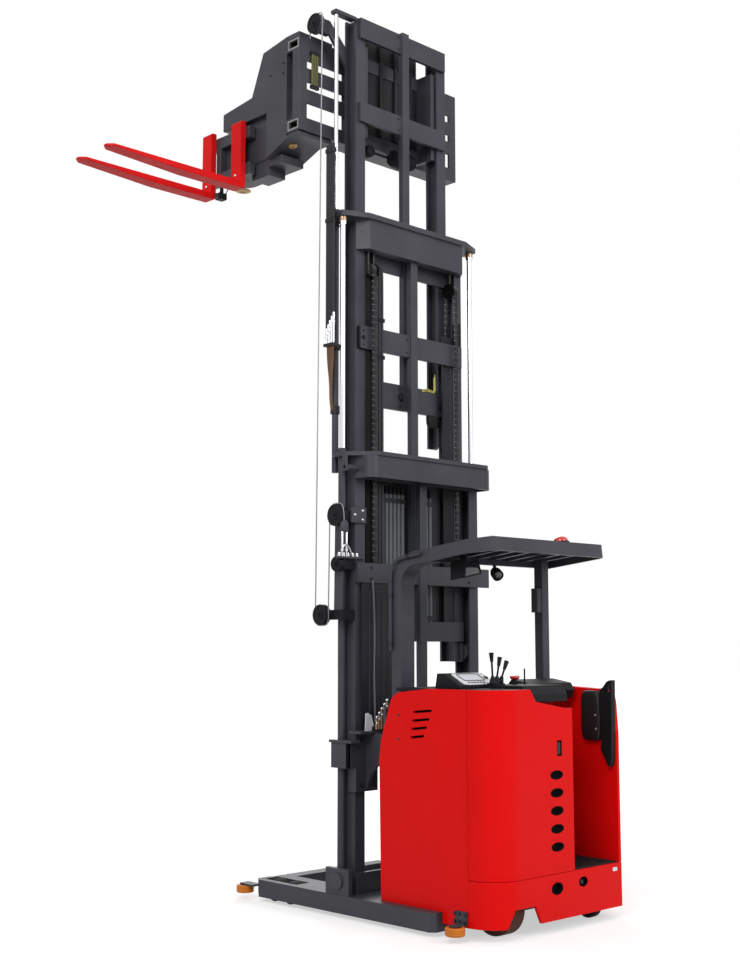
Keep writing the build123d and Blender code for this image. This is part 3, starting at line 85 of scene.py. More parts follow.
lens = bpy.data.cameras.new("camera")
lens.sensor_width = SENSOR_WIDE
lens.lens = FOCAL_PIXELS / FRAME_HIGH * SENSOR_WIDE
lens.clip_end = VIEW_REACH
camera = bpy.data.objects.new("camera", lens)
camera.location = CAMERA_PLACE
camera.rotation_euler = (math.radians(CAMERA_TILT), 0.0, math.radians(CAMERA_TURN))
put_in_scene(camera)
bpy.context.scene.camera = camera
print("lens", round(lens.lens, 2), "mm")

# %% [markdown]
# ## Floor, backdrop and light
# The truck stands on a pale floor in front of white. The floor glows a little for the camera and in
# reflections, and more so far from the truck, where the lamps no longer reach: it meets the white world
# without a line and still takes the shadow. Large square lamps give soft streaks on paint and chrome.

# %% Floor and world
CORNERS = ((-1, -1), (1, -1), (1, 1), (-1, 1))
FLOOR_REACH, FLOOR_DROP = 60.0, 0.001
FLOOR_SHADES, FLOOR_SPECKLE, FLOOR_ROUGH = (0.53, 0.58), 3.0, 0.9
GLOW_NEAR, GLOW_FAR = 0.55, 0.84
GLOW_START, GLOW_END = 2.5, 9.0
ROOM_FILL = 0.4
WHITE = (1, 1, 1, 1)


def add_node(tree, kind, **levels):
    """Shader node with some inputs set; an underscore stands for a space in an input's name."""
    node = tree.nodes.new("ShaderNode" + kind)
    for name, level in levels.items():
        node.inputs[name.replace("_", " ")].default_value = level
    return node


def add_math(tree, operation, one, two):
    """Result of a sum on two sockets."""
    node = add_node(tree, "Math")
    node.operation = operation
    tree.links.new(one, node.inputs[0])
    tree.links.new(two, node.inputs[1])
    return node.outputs[0]


def seen_rays(tree):
    """One where a ray comes from the camera, a reflection or a refraction."""
    path = add_node(tree, "LightPath").outputs
    seen = add_math(tree, "MAXIMUM", path["Is Camera Ray"], path["Is Glossy Ray"])
    return add_math(tree, "MAXIMUM", seen, path["Is Transmission Ray"])


def glow_by_distance(tree):
    """Glow of the floor, weak at the truck and strong far away."""
    far = add_node(tree, "VectorMath")
    far.operation = "LENGTH"
    tree.links.new(add_node(tree, "TexCoord").outputs["Object"], far.inputs[0])
    level = add_node(tree, "MapRange", From_Min=GLOW_START, From_Max=GLOW_END, To_Min=GLOW_NEAR,
                     To_Max=GLOW_FAR)
    tree.links.new(far.outputs["Value"], level.inputs["Value"])
    return level.outputs["Result"]


def make_floor():
    material = bpy.data.materials.new("pale_floor")
    material.use_nodes = True
    tree = material.node_tree
    link = tree.links.new
    paint = tree.nodes["Principled BSDF"].inputs
    paint["Roughness"].default_value = FLOOR_ROUGH
    paint["Emission Color"].default_value = WHITE
    ramp = add_node(tree, "ValToRGB")
    for element, shade in zip(ramp.color_ramp.elements, FLOOR_SHADES):
        element.color = (shade, shade, shade, 1)
    link(add_node(tree, "TexNoise", Scale=FLOOR_SPECKLE).outputs["Fac"], ramp.inputs["Fac"])
    link(ramp.outputs["Color"], paint["Base Color"])
    link(add_math(tree, "MULTIPLY", seen_rays(tree), glow_by_distance(tree)), paint["Emission Strength"])
    mesh = bpy.data.meshes.new("floor")
    corners = [(x * FLOOR_REACH, y * FLOOR_REACH, -FLOOR_DROP) for x, y in CORNERS]
    mesh.from_pydata(corners, [], [(0, 1, 2, 3)])
    mesh.materials.append(material)
    floor = bpy.data.objects.new("floor", mesh)
    put_in_scene(floor)


def make_world():
    world = bpy.data.worlds.new("white_room")
    world.use_nodes = True
    bpy.context.scene.world = world
    tree = world.node_tree
    background = tree.nodes["Background"].inputs
    background["Color"].default_value = WHITE
    level = add_node(tree, "MapRange", To_Min=ROOM_FILL, To_Max=1.0)
    tree.links.new(seen_rays(tree), level.inputs["Value"])
    tree.links.new(level.outputs["Result"], background["Strength"])


make_floor()
make_world()
bpy.context.scene.view_settings.view_transform = "Standard"
print("floor", FLOOR_REACH, "m")

# %% Lamps
LAMPS = (
    # name, place, aim, size, watts
    ("key_lamp", (-7.5, -3.0, 7.5), (0, 1.0, 2.4), 5.0, 490),
    ("rear_lamp", (1.5, -8.5, 6.0), (0, 1.0, 1.8), 4.5, 385),
    ("front_lamp", (5.5, 8.0, 6.5), (0, 1.5, 3.0), 5.0, 300),
)
for name, place, aim, size, watts in LAMPS:
    light = bpy.data.lights.new(name, "AREA")
    light.shape = "SQUARE"
    light.size = size
    light.energy = watts
    lamp = bpy.data.objects.new(name, light)
    lamp.location = place
    lamp.rotation_euler = (Vector(aim) - Vector(place)).to_track_quat("-Z", "Y").to_euler()
    put_in_scene(lamp)
print("lamps", len(LAMPS))

# %% [markdown]
# ## Finishes
# Paint is never one flat colour. One function builds all the finishes: a slow noise shifts the colour, a
# second one moves the gloss, and a fine one lifts the surface as bump. All read object coordinates in
# metres, so the grain is the same on every part. The paints get a low shine, because the white room would
# else wash a deep red to pink.

# %% Finish builder
CLOUDS, SMUDGES, PEEL_DETAIL = (4.0, 6.0), (22.0, 4.0), 2.0
CLOUD_LOW, CLOUD_HIGH = 0.3, 0.72
GLOSSIEST, COAT_ROUGH, PEEL_HIGH = 0.03, 0.08, 0.001
FINISHES = {}


def finish(name, colour, rough, metal=0.0, shift=0.12, gloss_shift=0.1, grain=900.0, lift=0.02,
           coat=0.0, shine=0.5, stretch=(1, 1, 1)):
    """Painted, moulded or bare finish: colour clouds, gloss clouds and a fine grain in metres."""
    material = bpy.data.materials.new(name)
    material.use_nodes = True
    tree = material.node_tree
    link = tree.links.new
    shader = tree.nodes["Principled BSDF"].inputs
    fit = add_node(tree, "Mapping", Scale=stretch)
    link(add_node(tree, "TexCoord").outputs["Object"], fit.inputs["Vector"])

    def noise(scale, detail):
        spots = add_node(tree, "TexNoise", Scale=scale, Detail=detail)
        link(fit.outputs["Vector"], spots.inputs["Vector"])
        return spots.outputs["Fac"]

    tint = add_node(tree, "ValToRGB")
    low, high = tint.color_ramp.elements
    low.position, high.position = CLOUD_LOW, CLOUD_HIGH
    low.color = (*[c * (1 - shift) for c in colour], 1)
    high.color = (*[min(1.0, c * (1 + shift)) for c in colour], 1)
    link(noise(*CLOUDS), tint.inputs["Fac"])
    link(tint.outputs["Color"], shader["Base Color"])

    gloss = add_node(tree, "MapRange", To_Min=max(GLOSSIEST, rough - gloss_shift),
                     To_Max=min(1.0, rough + gloss_shift))
    link(noise(*SMUDGES), gloss.inputs["Value"])
    link(gloss.outputs["Result"], shader["Roughness"])

    bump = add_node(tree, "Bump", Strength=lift, Distance=PEEL_HIGH)
    link(noise(grain, PEEL_DETAIL), bump.inputs["Height"])
    link(bump.outputs["Normal"], shader["Normal"])

    shader["Metallic"].default_value = metal
    shader["Specular IOR Level"].default_value = shine
    shader["Coat Weight"].default_value = coat
    shader["Coat Roughness"].default_value = COAT_ROUGH
    FINISHES[name] = material


finish("red_paint", (0.8, 0.0042, 0.0042), 0.26, shift=0.025, gloss_shift=0.03, grain=260, lift=0.04,
       shine=0.08)
finish("red_forks", (0.72, 0.01, 0.011), 0.36, shift=0.1, grain=500, lift=0.08, shine=0.06)
finish("charcoal_paint", (0.046, 0.0468, 0.0575), 0.42, shift=0.16, gloss_shift=0.06, grain=420,
       lift=0.12, shine=0.25)
# The lining is the red paint at half strength: the darker red is painted shade inside the cab.
finish("dark_red_lining", (0.4, 0.008, 0.01), 0.5, grain=420, lift=0.08, shine=0.2)
finish("battery_mass", (0.05, 0.05, 0.055), 0.7, shine=0.2)
finish("power_mass", (0.05, 0.05, 0.055), 0.7, shine=0.2)
finish("black_plastic", (0.009, 0.009, 0.011), 0.52, grain=1400, lift=0.25, shine=0.12)
finish("black_rubber", (0.012, 0.011, 0.012), 0.75, lift=0.3, shine=0.2)
finish("chrome_rod", (0.7, 0.71, 0.745), 0.12, metal=1.0, shift=0.03, gloss_shift=0.04, grain=1500,
       stretch=(1, 1, 0.02))
finish("chain_steel", (0.05, 0.049, 0.052), 0.34, metal=0.7, shift=0.4, gloss_shift=0.15)
finish("black_steel", (0.018, 0.018, 0.021), 0.45, metal=0.2, shift=0.25, shine=0.25)
finish("brown_tyre", (0.085, 0.034, 0.02), 0.7, shift=0.3, grain=700, lift=0.25, shine=0.2)
finish("black_tyre", (0.02, 0.02, 0.021), 0.75, shift=0.3, grain=700, lift=0.25, shine=0.2)
finish("orange_tyre", (0.7, 0.2, 0.016), 0.42, shift=0.2, grain=700, lift=0.1, shine=0.3)
print("finishes of the solids", len(FINISHES))

# %% [markdown]
# The small parts need finishes of their own: a near-black whose extra darkness is painted shade in holes,
# slots and recesses, zinc on nuts, wire rope, copper, brass, red lens plastic, a smooth pale instrument
# face and the vinyl behind the operator.

# %% Finishes of the small parts
# Near-black, matte, almost without shine: painted shade for the inside of holes, slots and recesses.
finish("black_and_painted_shade", (0.0025, 0.0025, 0.003), 0.85, shift=0.3, shine=0.05)
finish("bright_zinc", (0.62, 0.63, 0.66), 0.24, metal=1.0, shift=0.1, grain=1200)
finish("black_zinc", (0.035, 0.035, 0.038), 0.36, metal=0.8, shift=0.2, grain=1200)
finish("wire_rope", (0.3, 0.3, 0.31), 0.45, metal=0.8, shift=0.25, grain=700, lift=0.6,
       stretch=(1, 1, 0.3))
finish("copper_union", (0.42, 0.26, 0.17), 0.34, metal=0.9, shift=0.25)
finish("brown_hose", (0.15, 0.075, 0.04), 0.5, shift=0.25, grain=800, lift=0.15, shine=0.3)
finish("black_hose", (0.012, 0.012, 0.015), 0.4, shift=0.2, lift=0.15, shine=0.35)
finish("grey_tube", (0.11, 0.119, 0.13), 0.38, shift=0.15, lift=0.1, shine=0.4)
finish("olive_hose", (0.12, 0.12, 0.045), 0.5, shift=0.3, grain=800, lift=0.15, shine=0.3)
finish("yellow_wire", (0.55, 0.5, 0.12), 0.45, shift=0.35, grain=500, shine=0.3)
finish("brass_plug", (0.3, 0.19, 0.07), 0.38, metal=0.9, shift=0.25)
finish("red_lens", (0.62, 0.008, 0.008), 0.12, shift=0.06, grain=300, lift=0.1, coat=0.6)
finish("lamp_glass", (0.02, 0.022, 0.028), 0.06, shift=0.1, grain=120, lift=0.2, coat=0.8)
finish("pale_panel", (0.74, 0.75, 0.78), 0.28, shift=0.05, lift=0.05)
finish("dark_display", (0.012, 0.012, 0.015), 0.2, shift=0.3, shine=0.3)
finish("pale_screen", (0.6, 0.63, 0.68), 0.12, shift=0.08, grain=300, coat=0.3)
finish("black_vinyl", (0.013, 0.012, 0.013), 0.46, shift=0.15, grain=620, lift=0.35, shine=0.3)
print("finishes in all", len(FINISHES))

# %% [markdown]
# ## Edges of the solid parts
# Cut plate and pressed sheet have a small round on every edge, which catches the light. The frame's meshes
# must not be edited, so modifiers do it: doubled points are welded, flat triangles are joined, a bevel
# rounds what is left, and weighted normals keep the large faces flat in the light. The two plain chain
# runs are left alone: leaf chains replace them later.

# %% Dress the solid parts
SOFT_EDGE = {"red_paint": 0.006, "red_forks": 0.003, "black_plastic": 0.003, "charcoal_paint": 0.003}
PLAIN_EDGE = 0.0015
WELD_REACH, FLAT_ANGLE, SOLID_ANGLE = 0.00002, 0.6, 38
PLAIN_CHAINS = {"lift_chains", "inner_chains"}
slot_of = {part["node"]: part["material_slot"] for part in frame["record"]["subparts"]}


def bevel_edges(piece, width, angle):
    edge = piece.modifiers.new("edge", "BEVEL")
    edge.width = width
    edge.segments = 2
    edge.limit_method = "ANGLE"
    edge.angle_limit = math.radians(angle)


def round_edges(solid, width):
    weld = solid.modifiers.new("weld", "WELD")
    weld.merge_threshold = WELD_REACH
    join = solid.modifiers.new("join_flats", "DECIMATE")
    join.decimate_type = "DISSOLVE"
    join.angle_limit = math.radians(FLAT_ANGLE)
    bevel_edges(solid, width, SOLID_ANGLE)
    flat = solid.modifiers.new("flat_light", "WEIGHTED_NORMAL")
    flat.keep_sharp = False


for name, solid in nodes.items():
    slot = slot_of[name]
    solid.data.materials.clear()
    solid.data.materials.append(FINISHES[slot])
    if name not in PLAIN_CHAINS:
        round_edges(solid, SOFT_EDGE.get(slot, PLAIN_EDGE))
print("dressed", len(nodes), "solids")

# %% [markdown]
# ## Tools for the small parts
# Most small parts of a truck are turned, pressed or cut from plate. Rings of points skinned with faces
# give turned and pressed forms, an outline with a depth gives plate, and a washer with a six-sided head
# gives a bolt. All are drawn on axes that stand on a face of the truck. Tables made by mm hold
# millimetres; all other lengths are metres.

# %% Shapes from rings
LEFT, RIGHT, REAR, ALONG, DOWN = (-1, 0, 0), (1, 0, 0), (0, -1, 0), (0, 1, 0), (0, 0, -1)
SIDES = (-1, 1)
BOLT_TURN = (0.31, 0.52, 0.8)


def mm(*rows):
    """Rows of millimetres, as metres."""
    return [[size / 1000 for size in row] for row in rows]


def grid_on(place, out, across=RIGHT):
    """Axes on a face: the third points out of it, the first runs across it."""
    out = Vector(out).normalized()
    across = Vector(across)
    side = (across - out * across.dot(out)).normalized()
    grid = Matrix((side, out.cross(side), out)).transposed().to_4x4()
    grid.translation = Vector(place)
    return grid


def side_on(place, out=RIGHT):
    """Axes on a side face of the truck."""
    return grid_on(place, out, ALONG)


def in_plane(x, points):
    """Route in an upright plane along the truck."""
    return [(x, y, z) for y, z in points]


def at(x, y, z=0.0):
    """Level axes at a place."""
    return Matrix.Translation((x, y, z))


def oval(half_wide, half_high, lift, power=2.0, count=24):
    """Points of an ellipse, or of a rounded rectangle where the power is high."""
    points = []
    for step in range(count):
        turn = 2 * math.pi * (step + 0.5) / count
        c, s = math.cos(turn), math.sin(turn)
        x = math.copysign(abs(c) ** (2 / power), c) * half_wide
        y = math.copysign(abs(s) ** (2 / power), s) * half_high
        points.append(Vector((x, y, lift)))
    return points


def rectangle(half_wide, half_high):
    return [(x * half_wide, y * half_high) for x, y in CORNERS]


def add_rings(shape, grid, rings, hollow=False):
    """Skin over rings of points: capped at both ends, or closed on itself as a hoop."""
    loops = [[shape.verts.new(grid @ point) for point in ring] for ring in rings]
    pairs = list(zip(loops, loops[1:]))
    if hollow:
        pairs.append((loops[-1], loops[0]))
    for low, high in pairs:
        for i in range(len(low)):
            j = (i + 1) % len(low)
            shape.faces.new((low[i], low[j], high[j], high[i]))
    if not hollow:
        shape.faces.new(loops[0][::-1])
        shape.faces.new(loops[-1])


def add_turned(shape, grid, profile, count=24, hollow=False):
    """Lathe work: rows of radius and height over the grid."""
    add_rings(shape, grid, [oval(radius, radius, lift, 2.0, count) for radius, lift in profile], hollow)


def add_pressed(shape, grid, sections, power=5.0, count=40):
    """Pressed or moulded form: rows of half width, half height and lift."""
    add_rings(shape, grid, [oval(wide, high, lift, power, count) for wide, high, lift in sections])


def add_plate(shape, grid, outline, thick):
    """Plate cut to an outline of grid points."""
    add_rings(shape, grid, [[Vector((x, y, lift)) for x, y in outline] for lift in (0.0, thick)])


def add_bar(shape, low, high):
    """Squared bar between two corners of the truck's own axes."""
    outline = ((low[0], low[1]), (high[0], low[1]), (high[0], high[1]), (low[0], high[1]))
    add_plate(shape, at(0, 0, low[2]), outline, high[2] - low[2])


def add_bolt(shape, place, out, size):
    """Washer and six-sided head; size is half the head's width."""
    grid = grid_on(place, out, BOLT_TURN)
    washer = ((size * 1.35, -0.001), (size * 1.35, size * 0.25), (size * 1.2, size * 0.32))
    head = ((size, size * 0.3), (size, size * 0.95), (size * 0.82, size * 1.12), (size * 0.4, size * 1.12))
    add_turned(shape, grid, washer, 16)
    add_turned(shape, grid, head, 6)


print("shape tools ready")

# %% [markdown]
# A finished shape becomes a piece with a finish, a small bevel and the body it rides on. A hose or a rope
# is a smooth line with a round bevel, turned into a mesh so that it can ride. Each cell below ends with a
# list of the pieces it fitted.

# %% Pieces from shapes and routes
FINE_EDGE, PLATE_EDGE, PIECE_ANGLE, SHARP_ANGLE = 0.001, 0.002, 40, 35
CHASSIS, MIDDLE, INNER = "chassis", "mast_middle", "mast_inner"
CARRIAGE, BOOM, HEAD = "carriage", "boom", "head"
fitted = []


def tell():
    """Prints the pieces made since the last call."""
    print("fitted:", ", ".join(fitted))
    fitted.clear()


def show_piece(name, look, body, mesh, edge=0.0):
    """Puts a mesh on the truck; it rides if just one body carries it."""
    mesh.materials.append(FINISHES[look])
    mesh.shade_smooth()
    mesh.set_sharp_from_angle(angle=math.radians(SHARP_ANGLE))
    piece = bpy.data.objects.new(name, mesh)
    put_in_scene(piece)
    if edge:
        bevel_edges(piece, edge, PIECE_ANGLE)
    if body:
        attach(piece, body)
    fitted.append(name)
    return piece


def make_piece(name, look, body, shape, edge=0.0):
    mesh = bpy.data.meshes.new(name)
    bmesh.ops.recalc_face_normals(shape, faces=shape.faces)
    shape.to_mesh(mesh)
    shape.free()
    return show_piece(name, look, body, mesh, edge)


def make_turned(name, look, body, grids, profile, count=24, hollow=False, edge=0.0):
    """One lathe part at one or more places."""
    shape = bmesh.new()
    for grid in grids:
        add_turned(shape, grid, profile, count, hollow)
    return make_piece(name, look, body, shape, edge)


def make_pressed(name, look, body, grid, sections, power, count=40):
    shape = bmesh.new()
    add_pressed(shape, grid, sections, power, count)
    return make_piece(name, look, body, shape)


def make_bars(name, look, body, bars, edge):
    shape = bmesh.new()
    for low, high in bars:
        add_bar(shape, low, high)
    return make_piece(name, look, body, shape, edge)


def make_tubes(name, look, body, routes, radius, smooth=6):
    """Round tubes along smooth routes, all in one piece."""
    line = bpy.data.curves.new(name, "CURVE")
    line.dimensions = "3D"
    line.bevel_depth = radius
    line.bevel_resolution = 3
    line.resolution_u = smooth
    line.use_fill_caps = True
    for route in routes:
        spline = line.splines.new("NURBS")
        spline.points.add(len(route) - 1)
        for point, place in zip(spline.points, route):
            point.co = (*place, 1.0)
        spline.order_u = min(3, len(route))
        spline.use_endpoint_u = True
    holder = bpy.data.objects.new(name, line)
    put_in_scene(holder)
    bpy.context.view_layer.update()
    mesh = bpy.data.meshes.new_from_object(holder.evaluated_get(bpy.context.evaluated_depsgraph_get()))
    bpy.data.objects.remove(holder)
    bpy.data.curves.remove(line)
    return show_piece(name, look, body, mesh)


print("piece tools ready")

# %% [markdown]
# ## Cups, latch and lock of the rear door
# The battery door has five oval grips, black cups let into the red sheet, and a sunk latch above them. The
# two holes in the skirt get the same cups, one with a lock in it. The cups are near-black and matte: painted
# shade inside the grips, the latch recess and the holes.

# %% Cups in the door and the skirt
GRIP_X = -0.052
GRIP_ZS = (0.863, 0.764, 0.665, 0.566, 0.467)
LATCH = (-0.024, 1.01)
SKIRT_HOLES = ((-0.061, 0.241), (0.176, 0.251))
# Cups: half width, half height, depth and the power of the oval
GRIP_CUP = (0.0474, 0.0199, 0.0096, 2.0)
LATCH_CUP = (0.0218, 0.0438, 0.0096, 9.0)
SKIRT_CUP = (0.0396, 0.0276, 0.018, 2.0)
GRIP_RIM, SKIRT_RIMS = 0.01, (0.012, 0.0)
PADDLE = mm((14, 34, -8.5), (14, 34, -4), (12.5, 32.5, -3), (9, 29, -3))
LOCK = mm((13, -17), (13, -6), (11, -4), (5, -4), (4, -7))
LOCK_SHIFT = 0.008
REFLECTOR = mm((22, 11, -1), (22, 11, 0.4), (19, 9, 0.6), (10, 5, 0.6))


def add_cup(shape, x, z, half_wide, half_high, depth, power, rim=0.0):
    """Cup in a recess; the rim lies flat on the sheet round it."""
    rows = [(0.0, -depth), (0.0, -0.0006), (-0.003, -0.0006)]
    if rim:
        rows = [(0.0, -depth), (0.0, 0.0002), (rim, 0.0002), (rim - 0.001, 0.0005), (-0.002, 0.0004)]
    rows += [(-0.005, -0.45 * depth), (-0.008, 0.0004 - depth)]
    sections = [(half_wide + grow, half_high + grow * 0.6, lift) for grow, lift in rows]
    add_pressed(shape, grid_on((x, 0.0, z), REAR), sections, power, 48)


cups = bmesh.new()
for z in GRIP_ZS:
    add_cup(cups, GRIP_X, z, *GRIP_CUP, GRIP_RIM)
add_cup(cups, *LATCH, *LATCH_CUP)
for (x, z), rim in zip(SKIRT_HOLES, SKIRT_RIMS):
    add_cup(cups, x, z, *SKIRT_CUP, rim)
# Near-black cups: painted shade inside the grips, the latch recess and the skirt holes.
make_piece("door_cups", "black_and_painted_shade", CHASSIS, cups)

latch = bmesh.new()
add_pressed(latch, grid_on((LATCH[0], 0.0, LATCH[1]), REAR), PADDLE, 7.0)
lock_x, lock_z = SKIRT_HOLES[1]
add_turned(latch, grid_on((lock_x - LOCK_SHIFT, 0.0, lock_z), REAR), LOCK)
make_piece("latch_paddle", "black_zinc", CHASSIS, latch, edge=0.0006)
make_pressed("skirt_reflector", "bright_zinc", CHASSIS, grid_on((0.477, 0.0, 0.287), REAR), REFLECTOR,
             5.0, 28)
tell()

# %% [markdown]
# ## Louvres and panel screws
# Behind the slots in the left panel a guard plate with sloped blades keeps dust out; its near-black, matte
# finish is painted shade behind the slots. Two screws hold the panel at its front edge.

# %% Louvre guard and screws
LOUVRE_Y = 0.546
BLADE_ZS = [1.065 + 0.025 * step for step in range(7)]
BLADE_SLOPE = (0.5, 0, 0.86)
SCREW = mm((8.5, -1), (8.5, 1.2), (6.5, 3.2), (3, 3.4), (2.2, 1.6))

louvres = bmesh.new()
add_plate(louvres, side_on((-0.5668, LOUVRE_Y, 1.143)), rectangle(0.105, 0.095), 0.003)
for z in BLADE_ZS:
    blade = grid_on((-0.5655, LOUVRE_Y, z), BLADE_SLOPE, ALONG)
    add_plate(louvres, blade, rectangle(0.1, 0.006), 0.002)
# Near-black plate and blades: painted shade behind the slots.
make_piece("louvre_guard", "black_and_painted_shade", CHASSIS, louvres)
screw_grids = [side_on((-0.588, 0.721, z), LEFT) for z in (1.188, 1.052)]
make_turned("panel_screws", "black_zinc", CHASSIS, screw_grids, SCREW, 20)
tell()

# %% [markdown]
# ## Console
# The operator stands sideways at a sloped instrument panel, a row of levers and a red stop button. The
# panel is a pale moulded frame round a screen with small keys below it, drawn on the console's slope.

# %% Instrument panel and stop button
SLOPE = grid_on((-0.305, 0.3985, 1.3952), (0, -0.467, 0.884))
PANEL_TOP = 0.0045
PANEL = mm((136, 66, -1), (136, 66, 3), (133, 63, 5), (100, 45, 5))
SCREEN = mm((86, 36, 0), (86, 36, 1.2), (84, 34, 1.6), (50, 20, 1.6))
BORDER = mm((0, 0), (6, 0), (6, 3), (0, 3))
KEY = mm((9, 5.5, 0), (9, 5.5, 2), (7.5, 4, 3), (4, 2, 3))
KEY_XS = [-0.085 + 0.026 * step for step in range(6)]
DIAL = mm((13, 0), (13, 6), (11, 9), (6, 9))
STOP_CAP = mm((14, 1388), (26.5, 1395.5), (29, 1400), (29, 1407), (26.2, 1411.8), (19, 1414.2), (8, 1415))

make_pressed("instrument_frame", "pale_panel", CHASSIS, SLOPE, PANEL, 9.0)
screen_grid = SLOPE @ at(-0.012, 0.012, PANEL_TOP)
make_pressed("instrument_screen", "pale_screen", CHASSIS, screen_grid, SCREEN, 9.0)

keys = bmesh.new()
half_wide, half_high, _ = SCREEN[0]
border = [oval(half_wide + grow, half_high + grow, lift, 9.0, 40) for grow, lift in BORDER]
add_rings(keys, screen_grid, border, hollow=True)
for x in KEY_XS:
    add_pressed(keys, SLOPE @ at(x, -0.048, PANEL_TOP), KEY, 5.0, 20)
add_turned(keys, SLOPE @ at(0.108, 0.0, PANEL_TOP), DIAL)
make_piece("screen_border_and_keys", "dark_display", CHASSIS, keys)
make_turned("stop_button", "red_lens", CHASSIS, [at(-0.07, 0.285)], STOP_CAP, 40)
tell()

# %% [markdown]
# ## Backrest pad
# The narrow pad at the right wall is foam under vinyl: its face swells in the middle, its corners are drawn
# in, and a welt runs round the edge where the cover is sewn. Two bright screws hold it.

# %% Padded backrest
PAD_LOW, PAD_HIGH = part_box("backrest_pad")
PAD_ROWS = (
    # share of the half size, share of the thickness
    (0.86, 0.00), (0.955, 0.04), (0.985, 0.14), (0.992, 0.3), (0.972, 0.345), (0.978, 0.37), (1.0, 0.4),
    (1.0, 0.47), (0.978, 0.5), (0.972, 0.525), (0.99, 0.57), (0.975, 0.7), (0.93, 0.83), (0.84, 0.92),
    (0.68, 0.97), (0.45, 0.99), (0.2, 1.0),
)
PAD_SCREWS, PAD_SCREW_SINK = ((0.126, 1.172), (0.122, 1.09)), 0.0015

pad_middle = (PAD_LOW + PAD_HIGH) / 2
pad_half = (PAD_HIGH - PAD_LOW) / 2
pad_grid = side_on((PAD_HIGH.x, pad_middle.y, pad_middle.z), LEFT)
pad_sections = []
for share, depth in PAD_ROWS:
    draw_in = pad_half.y * (1 - share)
    pad_sections.append((pad_half.y - draw_in, pad_half.z - draw_in * 1.1, depth * (PAD_HIGH.x - PAD_LOW.x)))
backrest = make_pressed("padded_backrest", "black_vinyl", CHASSIS, pad_grid, pad_sections, 5.0, 64)
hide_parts("backrest_pad")

pad_screws = bmesh.new()
for y, z in PAD_SCREWS:
    add_bolt(pad_screws, (PAD_LOW.x + PAD_SCREW_SINK, y, z), LEFT, 0.006)
make_piece("backrest_screws", "bright_zinc", CHASSIS, pad_screws)
tell()

# %% [markdown]
# ## Floor mat
# The mat in the cab has studs for grip: low discs in staggered rows.

# %% Studs on the mat
MAT_LOW, MAT_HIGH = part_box("platform_mat")
STUD_PITCH, STUD_EDGE = 0.046, 0.03
STUD = mm((13, -1), (13, 1.2), (11, 2.2), (5, 2.2))

stud_grids = []
across = int((MAT_HIGH.x - MAT_LOW.x - 2 * STUD_EDGE) / STUD_PITCH)
along = int((MAT_HIGH.y - MAT_LOW.y - 2 * STUD_EDGE) / STUD_PITCH)
for i in range(across + 1):
    for j in range(along + 1):
        y = MAT_LOW.y + STUD_EDGE + STUD_PITCH * j + 0.5 * STUD_PITCH * (i % 2)
        if y < MAT_HIGH.y - STUD_EDGE:
            stud_grids.append(at(MAT_LOW.x + STUD_EDGE + STUD_PITCH * i, y, MAT_HIGH.z))
make_turned("mat_studs", "black_rubber", CHASSIS, stud_grids, STUD, 14)
tell()

# %% [markdown]
# ## Overhead guard
# The guard leans forward a little. Its fascia carries a red warning light and a square work lamp hangs
# under its left edge; both are drawn on a level roof and leaned with it. A small round lamp looks down at
# the operator.

# %% Beacon and lamps of the guard
HINGE_Y, HINGE_Z, LEAN_ANGLE = 0.115, 2.2, -6.5
BEACON = mm((44, 0), (45, 12), (43.5, 22), (38, 31), (28, 38), (15, 42), (5, 43))
BEZEL = mm((46, -1), (53, -1), (53, 6), (50, 10), (46, 10))
ROUND_LAMP = mm((10, -58), (26, -52), (34, -30), (36, 0), (36, 12), (31, 13), (30, 4))
ROUND_GLASS = mm((30, 3), (26, 8), (14, 11.5), (4, 12))
WORK_LAMP = mm((-380, 2118), (-270, 2118), (-250, 2035), (-400, 2005))
WORK_MIDDLE, WORK_REAR = Vector((-0.325, 2.068)), 0.4
# Work lamp: share of the outline, depth from its rear
WORK_RIM = ((1.04, 0.01), (1.04, -0.006), (0.88, -0.006), (0.84, 0.0005))
WORK_GLASS = ((0.86, 0.001), (0.86, -0.002), (0.7, -0.004))

tilt = Matrix.Rotation(math.radians(LEAN_ANGLE), 4, "X")
LEAN = at(0, HINGE_Y, HINGE_Z) @ tilt @ at(0, -HINGE_Y, -HINGE_Z)
beacon_grid = LEAN @ at(0.24, 0.172, HINGE_Z)
round_grid = grid_on((0.078, 0.535, 2.012), (-0.3, -0.75, -0.55))


def work_rings(rows):
    """Outlines of the work lamp, one behind the other."""
    rings = []
    for share, depth in rows:
        corners = [WORK_MIDDLE + (Vector(corner) - WORK_MIDDLE) * share for corner in WORK_LAMP]
        rings.append([Vector((x, WORK_REAR + depth, z)) for x, z in corners])
    return rings


make_turned("beacon_lens", "red_lens", CHASSIS, [beacon_grid], BEACON, 40)

bezel = bmesh.new()
add_turned(bezel, beacon_grid, BEZEL, 40, hollow=True)
add_turned(bezel, round_grid, ROUND_LAMP, 32)
add_bar(bezel, (0.07, 0.552, 2.02), (0.086, 0.566, 2.1))
make_piece("beacon_bezel_and_lamp", "black_plastic", CHASSIS, bezel, edge=0.0008)

lamp_rim = bmesh.new()
add_rings(lamp_rim, LEAN, work_rings(WORK_RIM), hollow=True)
make_piece("work_lamp_rim", "black_plastic", CHASSIS, lamp_rim, FINE_EDGE)
lamp_faces = bmesh.new()
add_rings(lamp_faces, LEAN, work_rings(WORK_GLASS))
add_turned(lamp_faces, round_grid, ROUND_GLASS, 28)
make_piece("lamp_faces", "lamp_glass", CHASSIS, lamp_faces)
tell()
